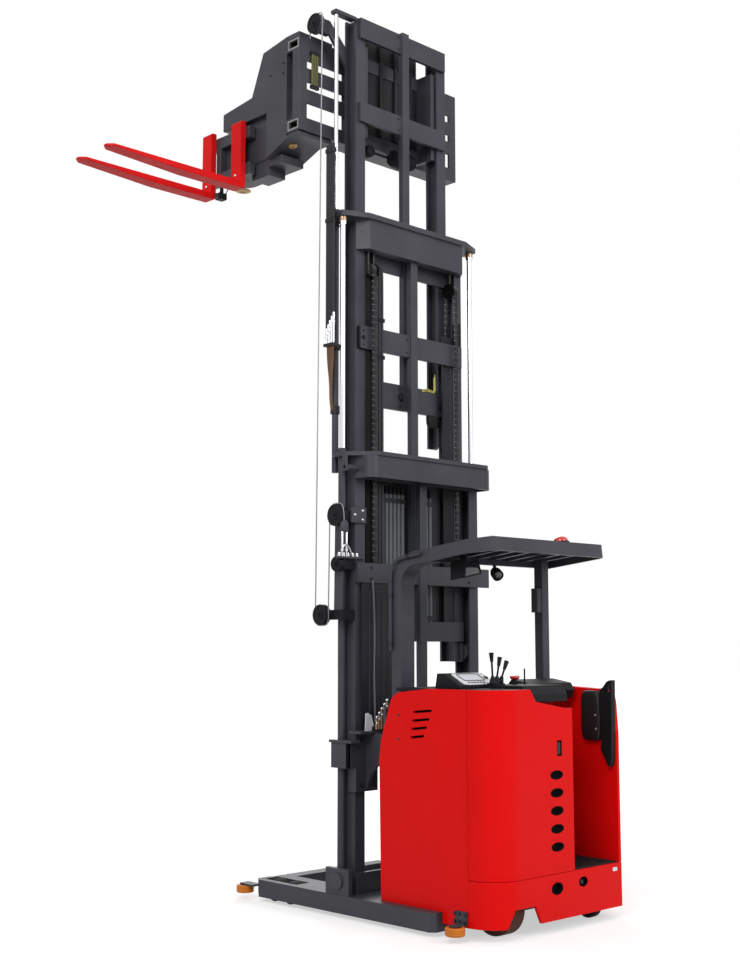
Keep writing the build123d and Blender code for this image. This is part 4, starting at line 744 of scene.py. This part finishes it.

# %% [markdown]
# ## Rope gear at the left of the mast
# A wire rope runs from the top pulley down to a pulley low on the outer mast, up and over a second one and
# into a spring terminal. The long run is anchored at the lower pulley. A short run below the top pulley
# rides with the inner stage, so that no gap opens when the mast goes up.

# %% Pulley cheeks
ROPE_X, CHEEK_X, CHEEK_THICK = -0.68, -0.697, 0.007
PULLEYS = (
    # body, y, z, radius
    (CHASSIS, 1.29, 1.771, 0.064),
    (CHASSIS, 1.156, 2.372, 0.068),
    (CHASSIS, 1.145, 2.075, 0.046),
    (INNER, 1.371, 5.573, 0.066),
)
PULLEY_DISH = (
    # share of the radius, lift
    (0.985, -0.002), (0.985, 0.003), (0.93, 0.005), (0.84, 0.005), (0.78, 0.0015), (0.44, 0.0015),
    (0.4, 0.006), (0.34, 0.007), (0.15, 0.007),
)
for index, (body, y, z, radius) in enumerate(PULLEYS):
    cheek = bmesh.new()
    dish = [(radius * share, lift) for share, lift in PULLEY_DISH]
    add_turned(cheek, side_on((CHEEK_X, y, z), LEFT), dish, 40)
    add_bolt(cheek, (CHEEK_X - CHEEK_THICK, y, z), LEFT, 0.01)
    make_piece(f"pulley_cheek_{index + 1}", "black_plastic", body, cheek)
tell()

# %% Wire rope
ROPE_RADIUS, TOP_RUN_LESS = 0.004, 0.0004
ROPE_TOP, ROPE_FOOT = (1.31, 5.573), (1.349, 1.771)
MAST_TRAVEL, SHORT_RUN = 2.6, 1.06
OVER_TOP = mm((1310, 5634), (1371, 5640), (1432, 5634), (1432, 5560), (1425, 5490))
ROPE_LOOP = mm((1349, 1790), (1349, 1712), (1290, 1706), (1231, 1712), (1231, 1800), (1222, 2300),
               (1219, 2436), (1156, 2446), (1093, 2436), (1093, 2310))
rope_rise = ROPE_TOP[1] - ROPE_FOOT[1]


def rope_at(z):
    share = (z - ROPE_FOOT[1]) / rope_rise
    return (ROPE_X, ROPE_FOOT[0] + (ROPE_TOP[0] - ROPE_FOOT[0]) * share, z)


long_route = [rope_at(ROPE_FOOT[1]), rope_at(ROPE_TOP[1])]
long_run = make_tubes("rope_long_run", "wire_rope", CHASSIS, [long_route], ROPE_RADIUS, smooth=2)
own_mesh(long_run)
top_route = [rope_at(ROPE_TOP[1] - SHORT_RUN), rope_at(ROPE_TOP[1] - 0.5), rope_at(ROPE_TOP[1])]
top_route += in_plane(ROPE_X, OVER_TOP)
make_tubes("rope_top_run", "wire_rope", INNER, [top_route], ROPE_RADIUS - TOP_RUN_LESS)
make_tubes("rope_loop", "wire_rope", CHASSIS, [in_plane(ROPE_X, ROPE_LOOP)], ROPE_RADIUS, smooth=10)
tell()

# %% [markdown]
# The rope ends in a dark clevis with two bright tension rods and a row of nuts on a small shelf. Shelf
# and pulley bracket are bolted to the outer mast channel.

# %% Rope terminal and brackets
ROPE_END_Y = 1.093
CLEVIS = mm((24, 11, 2268), (26, 12, 2275), (26, 12, 2318), (20, 10, 2330), (10, 6, 2340))
PULLEY_PLATE = mm((-605, 2330), (-480, 2330), (-480, 2425), (-590, 2425), (-605, 2410))
ROPE_GUARD = mm((1128, 1800), (1204, 1800), (1196, 2370), (1128, 2370))
TENSION_ROD = mm((4.5, 2118), (4.5, 2150), (9, 2151), (9, 2163), (6.2, 2164), (6.2, 2266), (4, 2272))
SHELF_NUT = mm((11, -1), (11, 10), (8.5, 12), (8.5, 18), (6, 22), (3, 23))
NUT_XS = [-0.706 + 0.036 * step for step in range(5)]
PLATE_BOLTS = mm((-511, 2406), (-511, 2350), (-575, 2378))
BOW = mm((-694, 1093, 2160), (-692, 1086, 2185), (-665, 1080, 2192), (-635, 1084, 2160), (-612, 1098, 2128))

brackets = bmesh.new()
add_pressed(brackets, at(ROPE_X + 0.004, ROPE_END_Y), CLEVIS, 6.0, 28)
add_bar(brackets, (-0.715, 1.098, 2.108), (-0.5, 1.1228, 2.122))
add_plate(brackets, grid_on((0, 1.1228, 0), REAR), PULLEY_PLATE, 0.016)
add_plate(brackets, side_on((-0.6595, 0, 0)), ROPE_GUARD, 0.005)
make_piece("rope_brackets", "charcoal_paint", CHASSIS, brackets, edge=0.0015)

bright = bmesh.new()
for x in (ROPE_X - 0.014, ROPE_X + 0.022):
    add_turned(bright, at(x, ROPE_END_Y), TENSION_ROD, 16)
for x in NUT_XS:
    add_turned(bright, at(x, 1.106, 2.122), SHELF_NUT, 12)
for x, z in PLATE_BOLTS:
    add_bolt(bright, (x, 1.107, z), REAR, 0.006)
make_piece("bright_rope_gear", "bright_zinc", CHASSIS, bright)
make_tubes("terminal_bow", "bright_zinc", CHASSIS, [BOW], 0.005)
tell()

# %% [markdown]
# ## Bolts of the structure
# The bolts are listed by the body that carries them, with the face they sit on, so one loop places them.

# %% Bolts
BOLTS = {
    # body: rows of x, y, z, the way out of the face, and half the head's width
    CHASSIS: [(side * 0.6, y, z, (side, 0, 0), 0.008)
              for side in SIDES for y in (0.205, 0.25, 0.282) for z in (0.1, 0.142)]
    + [(x, 1.098, z, REAR, 0.008) for x in (-0.445, 0.445) for z in (1.995, 2.06)]
    + [(side * x, 1.098, z, REAR, 0.009) for side in SIDES for x in (0.53, 0.42) for z in (0.76, 1.03)],
    MIDDLE: [(-0.058, 1.17, z, REAR, 0.006) for z in (1.64, 1.708, 3.472, 3.558)],
    INNER: [(-0.058, 1.242, z, REAR, 0.006) for z in (3.13, 3.24, 4.99, 5.07, 5.56, 5.64)],
    BOOM: [(-0.735, y, z, LEFT, 0.006) for y, z in ((1.628, 5.375), (1.633, 5.308), (1.76, 5.33))],
}
for body, rows in BOLTS.items():
    bolts = bmesh.new()
    for x, y, z, out, size in rows:
        add_bolt(bolts, (x, y, z), out, size)
    make_piece(f"bolts_{body}", "black_zinc", body, bolts)
tell()

# %% [markdown]
# ## Hoses of the middle stage
# Oil for the fork head goes up in a row of black hoses at the left of the mast. They leave bright fittings
# on a manifold that is clamped to the lift cylinder's barrel, and brown supply hoses come in from below.
# Above the clamp the hoses are slack enough to sink when the mast comes down.

# %% Hose row and its fittings
HOSE_X, HOSE_YS = -0.653, (1.222, 1.238, 1.254, 1.27, 1.286)
HOSE_FOOT, HOSE_NECK, HOSE_TOP, HOSE_STEP = 3.64, 4.262, 4.74, 0.024
HOSE_RADIUS, SUPPLY_RADIUS = 0.007, 0.0065
hose_feet = [(y, HOSE_FOOT - HOSE_STEP * step) for step, y in enumerate(HOSE_YS)]

row_routes = [[(HOSE_X, y, z) for z in (foot - 0.02, foot + 0.3, HOSE_NECK)] for y, foot in hose_feet]
make_tubes("hose_row", "black_hose", MIDDLE, row_routes, HOSE_RADIUS)
slack = [[(HOSE_X, y, HOSE_NECK - 0.002), (HOSE_X, y, HOSE_TOP)] for y in HOSE_YS]
hose_tops = make_tubes("hose_tops", "black_hose", MIDDLE, slack, HOSE_RADIUS, smooth=2)
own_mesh(hose_tops)

fittings = bmesh.new()
for y, foot in hose_feet:
    sleeve = ((0.0058, 3.452), (0.0058, foot - 0.062), (0.0085, foot - 0.06), (0.0085, foot - 0.04),
              (0.0072, foot - 0.038), (0.0078, foot - 0.03), (0.0078, foot + 0.004), (0.007, foot + 0.008))
    add_turned(fittings, at(HOSE_X, y), sleeve, 12)
make_piece("hose_fittings", "bright_zinc", MIDDLE, fittings)
tell()

# %% Manifold, clamps and supply hoses
BARREL = (-0.578, 1.287)
BARREL_CLAMPS, TOP_CLAMP = (3.445, 4.245), 4.7
BANJO = mm((21.2, 3020), (31, 3020), (31, 3070), (21.2, 3070))

manifold = bmesh.new()
add_bar(manifold, (-0.668, 1.212, 3.436), (-0.632, 1.302, 3.454))
add_bar(manifold, (-0.64, 1.276, 3.432), (-0.596, 1.298, 3.458))
for z in BARREL_CLAMPS:
    clamp = ((0.0212, z - 0.018), (0.03, z - 0.018), (0.03, z + 0.018), (0.0212, z + 0.018))
    add_turned(manifold, at(*BARREL), clamp, 32, hollow=True)
top_clamp = bmesh.new()
for shape, z in ((manifold, BARREL_CLAMPS[1]), (top_clamp, TOP_CLAMP)):
    add_bar(shape, (-0.6445, 1.213, z - 0.016), (-0.6405, 1.295, z + 0.016))
    add_bar(shape, (-0.6625, 1.213, z - 0.014), (-0.6615, 1.295, z + 0.014))
add_bar(manifold, (-0.6445, 1.28, 4.234), (-0.6, 1.294, 4.256))
make_piece("hose_manifold", "black_steel", MIDDLE, manifold, FINE_EDGE)
hose_clamp = make_piece("hose_top_clamp", "black_steel", MIDDLE, top_clamp)
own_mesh(hose_clamp)

supply = []
for step, y in enumerate(HOSE_YS[:4]):
    supply.append([(HOSE_X, y + 0.006, 3.44), (HOSE_X, y + 0.006, 3.36),
                   (-0.638 + 0.004 * step, 1.262 + 0.006 * step, 3.2),
                   (-0.618, 1.278 + 0.004 * step, 3.1), (-0.604, 1.283 + 0.003 * step, 3.045)])
make_tubes("supply_hoses", "brown_hose", MIDDLE, supply, SUPPLY_RADIUS, smooth=8)
make_turned("supply_banjo", "black_steel", MIDDLE, [at(*BARREL)], BANJO, 32, True, FINE_EDGE)
tell()

# %% [markdown]
# Between the channels a flat pack of grey tubes feeds the upper stage, with dark trays ahead of it that
# close the bay. Three hoses run beside the left lift chain and over a small saddle, and boxes on the
# channels hold the height switches.

# %% Tube pack and trays
TUBE_Y, TUBE_RADIUS, TUBE_FOOT, TUBE_TOP = 1.204, 0.015, 1.64, 2.54
PACK_XS = [-0.252 + 0.036 * step for step in range(6)] + [0.11, 0.146, 0.182]
PACK_UNION = mm((15.2, 2520), (15.2, 2550), (11, 2556), (11, 2590), (7, 2596))
PACK_STRAPS, STRAP_ZS = ((-0.27, -0.054), (0.088, 0.204)), (1.76, 2.5)
TRAY_FOOT = 1.625
TRAYS = mm(
    # left, right, rear face, top
    (-352, 36, 1219.5, 2690), (36, 352, 1219.5, 2690),
    (-408.5, -300, 1199, 4075), (300, 408.5, 1199, 3640),
)

tubes = [[(x, TUBE_Y, TUBE_FOOT), (x, TUBE_Y, TUBE_TOP)] for x in PACK_XS]
make_tubes("tube_pack", "grey_tube", MIDDLE, tubes, TUBE_RADIUS, smooth=2)
unions = bmesh.new()
for x in PACK_XS:
    add_turned(unions, at(x, TUBE_Y), PACK_UNION, 6)
for low, high in PACK_STRAPS:
    for z in STRAP_ZS:
        add_bar(unions, (low, 1.186, z - 0.014), (high, 1.193, z + 0.014))
make_piece("tube_unions", "black_steel", MIDDLE, unions, FINE_EDGE)

tray_bars = []
for low, high, rear, top in TRAYS:
    tray_bars.append(((low, rear, TRAY_FOOT), (high, rear + 0.002, top)))
    tray_bars.append(((low, rear - 0.01, TRAY_FOOT), (low + 0.003, rear + 0.001, top)))
make_bars("hose_trays", "black_steel", MIDDLE, tray_bars, edge=0.0006)
tell()

# %% Chain-side hoses and switch boxes
SIDE_HOSES, SIDE_RADIUS = (-0.345, -0.322, -0.299), 0.0108
SADDLE = mm((1155, 1690), (1155, 2400), (1155, 3300), (1155, 3880), (1157, 3965), (1184, 3992),
            (1211, 3965), (1213, 3880), (1212, 3780), (1205, 3600))
SWITCH_BOXES = mm((-447, 3440, 3585), (437, 3590, 3748))
BOX_REAR, LID_REAR = 1.195, 1.171
BOX_PLUG = mm((14, -1), (14, 5), (10, 7), (4, 7))
HOSE_CLIP_ZS = (1.76, 2.6, 3.4, 3.64)

side_routes = [in_plane(x, SADDLE) for x in SIDE_HOSES]
make_tubes("chain_side_hoses", "black_hose", MIDDLE, side_routes, SIDE_RADIUS, smooth=8)
boxes = bmesh.new()
for x, low, high in SWITCH_BOXES:
    middle, half = (low + high) / 2, (high - low) / 2
    case = ((0.031, half, -0.001), (0.031, half, 0.02), (0.028, half - 0.003, 0.024), (0.018, 0.045, 0.024))
    add_pressed(boxes, grid_on((x, BOX_REAR, middle), REAR), case, 9.0)
    add_turned(boxes, grid_on((x, LID_REAR, middle), REAR), BOX_PLUG)
    for lift in (-0.045, 0.045):
        add_bolt(boxes, (x, LID_REAR, middle + lift), REAR, 0.005)
for z in HOSE_CLIP_ZS:
    add_bar(boxes, (-0.362, 1.1435, z - 0.012), (-0.282, 1.17, z + 0.012))
make_piece("switch_boxes", "black_plastic", MIDDLE, boxes, FINE_EDGE)
tell()

# %% [markdown]
# ## Leaf chains
# A leaf chain is a stack of thin plates on pins. The rear run hangs from the outer mast over the sheaves of
# the middle stage, and the front run goes on down to the foot of the inner stage. Both change length when
# the mast travels; here each is built once at rest and rides on no body.

# %% Leaf chains
CHAIN_X, CHAIN_PITCH, PLATE_THICK = 0.38, 0.0381, 0.0042
CHAIN_RUNS = (
    # name, CAD node, lower body, upper body, y, foot and head of the run
    ("rear_chain", "lift_chains", CHASSIS, MIDDLE, 1.14, 2.088, 3.955),
    ("front_chain", "inner_chains", INNER, MIDDLE, 1.224, 3.27, 3.955),
)
PLATE_STACKS = ((-0.0126, -0.0042, 0.0042, 0.0126), (-0.0084, 0.0, 0.0084))
CHAIN_PIN = mm((3.2, 0), (4.2, 1), (4.2, 33), (3.2, 34))


def add_leaf_chain(plates, pins, x, y, foot, head):
    """One chain: plates in two stacks that take turns, and a pin at each joint."""
    links = int((head - foot) / CHAIN_PITCH)
    step = (head - foot) / links
    for link in range(links):
        low, high = foot + step * link, foot + step * (link + 1)
        waist = (low + high) / 2
        edge = [(0.0045, max(foot, low - 0.004)), (0.006, low + 0.004), (0.0044, waist),
                (0.006, high - 0.004), (0.0045, min(head, high + 0.004))]
        outline = [(y + half, z) for half, z in edge] + [(y - half, z) for half, z in reversed(edge)]
        for shift in PLATE_STACKS[link % 2]:
            side = side_on((x + shift - PLATE_THICK / 2, 0, 0))
            add_plate(plates, side, outline, PLATE_THICK)
        if link:
            add_turned(pins, side_on((x - 0.017, y, low)), CHAIN_PIN, 10)


for name, node, lower, upper, y, foot, head in CHAIN_RUNS:
    plates, pins = bmesh.new(), bmesh.new()
    for side in SIDES:
        add_leaf_chain(plates, pins, side * CHAIN_X, y, foot, head)
    run = make_piece(name, "chain_steel", None, plates)
    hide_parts(node)
    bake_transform(run)
    run_pins = make_piece(f"{name}_pins", "wire_rope", None, pins)
    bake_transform(run_pins)
tell()

# %% [markdown]
# The sheaves of the chains get dished black cheeks, darkened further as painted shade between the channels,
# and bronze collars close the lift rods under the top plate.

# %% Sheave cheeks and rod collars
SHEAVE_DISH = mm((52, -4), (52, 2), (48, 4), (38, 4), (34, 1), (20, 1), (18, 6), (8, 7))
ROD_COLLAR = mm((18.8, 4236), (25, 4236), (27, 4242), (27, 4268), (18.8, 4268))

sheave_grids = [side_on((x, 1.182, 3.955), LEFT) for x in (-0.352, 0.352)]
# Near-black cheeks: black parts, darkened further as painted shade.
make_turned("sheave_cheeks", "black_and_painted_shade", MIDDLE, sheave_grids, SHEAVE_DISH, 40)
rod_grids = [at(side * 0.59, 1.207) for side in SIDES]
make_turned("rod_collars", "copper_union", MIDDLE, rod_grids, ROD_COLLAR, 32, hollow=True)
tell()

# %% [markdown]
# ## Foot of the inner stage
# The inner stage ends in a beam with two rubber stop knobs, a hose boot below it and two loose yellow wires
# that lead to a switch. Further up, a folded crossbar ties its channels to the middle post.

# %% Knobs, boot, wires and crossbar
STOP_KNOB = mm((14, -2), (14, 3), (26, 4), (27.5, 7), (25, 11), (15, 13.8), (5, 14.2))
BOOT = mm((52, 20, -1), (54, 22, 10), (52, 21, 50), (44, 18, 72), (24, 10, 78))
WIRES = (mm((150, 3258), (185, 3276), (240, 3268), (262, 3262), (270, 3290), (268, 3360)),
         mm((150, 3250), (190, 3264), (245, 3258), (275, 3256), (280, 3300), (276, 3380)))

knobs = bmesh.new()
for x, z in ((-0.04, 3.19), (0.33, 3.175)):
    add_turned(knobs, grid_on((x, 1.242, z), REAR), STOP_KNOB, 28)
add_pressed(knobs, grid_on((0.27, 1.252, 3.1), DOWN), BOOT, 4.0, 32)
make_piece("stop_knobs", "black_rubber", INNER, knobs)
wire_routes = [[(x, 1.2385, z) for x, z in route] for route in WIRES]
make_tubes("foot_wires", "yellow_wire", INNER, wire_routes, 0.0032)

cross_bars = []
for low, high in ((-0.424, -0.031), (0.031, 0.424)):
    cross_bars.append(((low, 1.244, 3.995), (high, 1.26, 4.105)))
    cross_bars.append(((low, 1.259, 4.095), (high, 1.269, 4.105)))
make_bars("inner_crossbar", "charcoal_paint", INNER, cross_bars, PLATE_EDGE)
tell()

# %% [markdown]
# ## Lower left of the mast
# A hook rail hangs under the outer mast's collar, a thin cable runs down to the valve block, and a slanted
# row of copper unions stands on that block beside a pale bracket.

# %% Hook rail, cable and valve block
HOOK_RAIL = mm((10, 0), (19, 4), (19, 150), (30, 152), (31, 172), (24, 178), (8, 178))
RAIL_LUG = mm((1085, 2640), (1123, 2640), (1123, 2739), (1085, 2739))
DROP_CABLE = mm((-437, 1096, 1985), (-438, 1088, 1920), (-424, 1090, 1680), (-432, 1090, 1430),
                (-430, 1085, 1220), (-430, 1080, 1082))
VALVE_SIDE = mm((-498, -1076), (-372, -1076), (-372, -1190), (-498, -1100))
UNION_FOOT = 1.088
UNIONS = [(-0.476 + 0.021 * step, 1.16 + 0.0247 * step) for step in range(5)]
BALL_TURNS = (-1.3, -0.8, -0.3, 0.3, 0.8, 1.3)
PALE_BRACKET = mm((-552, 1078), (-476, 1078), (-486, 1130), (-500, 1172), (-530, 1187), (-547, 1184))

rail = bmesh.new()
add_turned(rail, side_on((-0.668, 1.104, 2.664)), HOOK_RAIL, 28)
add_plate(rail, side_on((-0.668, 0, 0)), RAIL_LUG, 0.012)
make_piece("hook_rail", "charcoal_paint", CHASSIS, rail, PLATE_EDGE)
make_tubes("drop_cable", "grey_tube", CHASSIS, [DROP_CABLE], 0.0055)

valve = bmesh.new()
add_bar(valve, (-0.505, 1.024, 1.06), (-0.35, 1.106, 1.0768))
add_plate(valve, grid_on((0, 1.032, 0), ALONG), VALVE_SIDE, 0.03)
make_piece("valve_block", "black_steel", CHASSIS, valve, PLATE_EDGE)
union_row, union_caps = bmesh.new(), bmesh.new()
for x, top in UNIONS:
    stem = ((0.0085, UNION_FOOT), (0.0085, top - 0.045), (0.0066, top - 0.043), (0.0066, top - 0.03),
            (0.0088, top - 0.028), (0.0088, top - 0.016), (0.005, top - 0.012))
    add_turned(union_row, at(x, 1.024), stem, 12)
    for middle, radius in ((top, 0.0098), (top - 0.036, 0.0078)):
        ball = [(radius * math.cos(turn), middle + radius * math.sin(turn)) for turn in BALL_TURNS]
        add_turned(union_caps, at(x, 1.02), ball, 16)
make_piece("copper_unions", "copper_union", CHASSIS, union_row)
make_piece("union_caps", "bright_zinc", CHASSIS, union_caps)
bracket = bmesh.new()
add_plate(bracket, grid_on((0, 1.046, 0), REAR), PALE_BRACKET, 0.005)
make_piece("pale_bracket", "pale_panel", CHASSIS, bracket, FINE_EDGE)
tell()

# %% [markdown]
# Cheek plates close the brace round the outer channels. Above it a ribbed cover hides the hoses, and a
# conduit with three clips climbs the arm of the guard.

# %% Brace cheeks, hose cover and conduit
BRACE_CHEEKS = mm(
    # near, far, rear, front, low, high
    (575, 640, 1098, 1116, 860, 1012),
    (620, 640, 1098, 1248, 860, 1012),
    (576, 652, 1060, 1180, 1010, 1026),
    (618, 652, 1180, 1256, 1010, 1026),
)
COVER_RIB = mm((14, 400, 0), (11, 396, 5), (6, 390, 6))
RIB_XS = (-0.446, -0.392, -0.338, -0.284)
CONDUIT_X, CONDUIT_RADIUS = -0.532, 0.0125
CONDUIT = mm((846, 1560), (846, 1800), (846, 2020), (806, 2090), (720, 2106), (600, 2118))
CLIP = mm((12.6, -10), (16.5, -10), (16.5, 10), (12.6, 10))
CLIPS = ((0.846, 1.6, (0, 0, 1)), (0.846, 1.88, (0, 0, 1)), (0.7, 2.108, (0, -1, 0.11)))

cheek_bars = []
for side in SIDES:
    for near, far, rear, front, low, high in BRACE_CHEEKS:
        left, right = sorted((side * near, side * far))
        cheek_bars.append(((left, rear, low), (right, front, high)))
make_bars("brace_cheeks", "charcoal_paint", CHASSIS, cheek_bars, PLATE_EDGE)

cover = bmesh.new()
add_bar(cover, (-0.52, 1.106, 1.056), (-0.236, 1.112, 1.968))
for x in RIB_XS:
    add_pressed(cover, grid_on((x, 1.1065, 1.52), REAR), COVER_RIB, 6.0, 28)
make_piece("hose_cover", "black_steel", CHASSIS, cover, FINE_EDGE)

conduit = in_plane(CONDUIT_X, CONDUIT)
make_tubes("guard_conduit", "charcoal_paint", CHASSIS, [conduit], CONDUIT_RADIUS, smooth=10)
clip_grids = [grid_on((CONDUIT_X, y, z), out) for y, z, out in CLIPS]
make_turned("conduit_clips", "black_zinc", CHASSIS, clip_grids, CLIP, 20, hollow=True)
tell()

# %% [markdown]
# ## Carriage and boom
# Behind the bars of the carriage sit the drive of the side shift and its covers, so the bay between the
# inner channels looks dark. Olive hoses come down at the left end of the frame.

# %% Carriage covers, drive motor and hoses
COVERS = mm(
    # left, right, foot, top
    (-297, 297, 5100, 5640), (-190, 297, 5060, 5101), (-297, 297, 4982, 5061),
)
COVER_RIBS = (-0.2, -0.06, 0.08, 0.22)
MOTOR = mm((20, 0), (52, 4), (60, 16), (60, 60), (64, 62), (64, 74), (60, 76), (60, 160), (50, 190),
           (30, 204), (10, 206))
MOTOR_CAP = mm((40, -30), (40, 10), (34, 20), (16, 24), (6, 24))
SHIFT_HOSES, SHIFT_RADIUS = (-0.64, -0.621, -0.602), 0.0085
HOSE_BAR_ZS = (5.185, 5.415)

cover_bars = [((low, 1.42, foot), (high, 1.436, top)) for low, high, foot, top in COVERS]
cover_bars += [((x - 0.014, 1.398, 4.99), (x + 0.014, 1.421, 5.63)) for x in COVER_RIBS]
make_bars("carriage_covers", "black_steel", CARRIAGE, cover_bars, PLATE_EDGE)

motor = bmesh.new()
add_turned(motor, side_on((0.03, 1.395, 4.862)), MOTOR, 36)
add_turned(motor, grid_on((-0.17, 1.405, 4.86), REAR), MOTOR_CAP, 32)
make_piece("shift_motor", "black_plastic", CARRIAGE, motor, FINE_EDGE)
shift_routes = [[(x, 1.4495, 5.18), (x, 1.449, 5.28), (x + 0.003, 1.448, 5.36), (x, 1.4495, 5.425)]
                for x in SHIFT_HOSES]
make_tubes("shift_hoses", "olive_hose", CARRIAGE, shift_routes, SHIFT_RADIUS)
hose_bars = [((-0.654, 1.4395, z - 0.012), (-0.588, 1.46, z + 0.012)) for z in HOSE_BAR_ZS]
make_bars("hose_bars", "black_steel", CARRIAGE, hose_bars, FINE_EDGE)
tell()

# %% [markdown]
# The boom has brass plugs on its underside, the forks hang on bright pins with a camera below them, and
# pale liners edge the open ends of the boom's frame.

# %% Plugs, fork pins, camera and liners
BOOM_PLUGS = (
    # place, the way out of the face, radius
    ((-0.645, 1.634, 4.8362), (0, -0.34, -0.94), 0.03),
    ((-0.605, 2.2, 4.68), DOWN, 0.052),
)
FORK_PIN = mm((9, -1), (9, 2), (6.5, 5.5), (2, 6.5))
CAMERA_LENS = mm((19, -2), (19, 10), (16, 12), (15, 4), (4, 6))
CAMERA_WIRE = mm((-712, 2262, 4640), (-702, 2240, 4690), (-700, 2215, 4735), (-706, 2205, 4770))
LINER_Y, LINER_ZS = 1.525, (4.925, 5.47)
LINER_HALF_Y, LINER_HALF_Z = 0.0525, 0.0328
LINER_ROWS = mm((0, 20), (0, 2), (10, 2), (10, 20))

plugs = bmesh.new()
for place, out, size in BOOM_PLUGS:
    plug = ((size, -0.002), (size, 0.004), (size * 0.8, 0.007), (size * 0.4, 0.007), (size * 0.36, 0.003))
    add_turned(plugs, grid_on(place, out), plug, 32)
make_piece("boom_plugs", "brass_plug", BOOM, plugs)

pin_grids = [side_on((-0.8, y, 4.702), LEFT) for y in (2.042, 2.362)]
make_turned("fork_pins", "bright_zinc", HEAD, pin_grids, FORK_PIN, 20)
lens_grid = side_on((-0.765, 2.28, 4.628), LEFT)
make_turned("camera_lens", "lamp_glass", HEAD, [lens_grid], CAMERA_LENS, 28)
make_tubes("camera_wire", "black_hose", HEAD, [CAMERA_WIRE], 0.0035)

liners = bmesh.new()
mouth = [[Vector((*corner, lift)) for corner in rectangle(LINER_HALF_Y - inset, LINER_HALF_Z - inset)]
         for inset, lift in LINER_ROWS]
for z in LINER_ZS:
    add_rings(liners, side_on((-0.741, LINER_Y, z)), mouth, hollow=True)
make_piece("frame_end_liners", "wire_rope", CARRIAGE, liners)
tell()
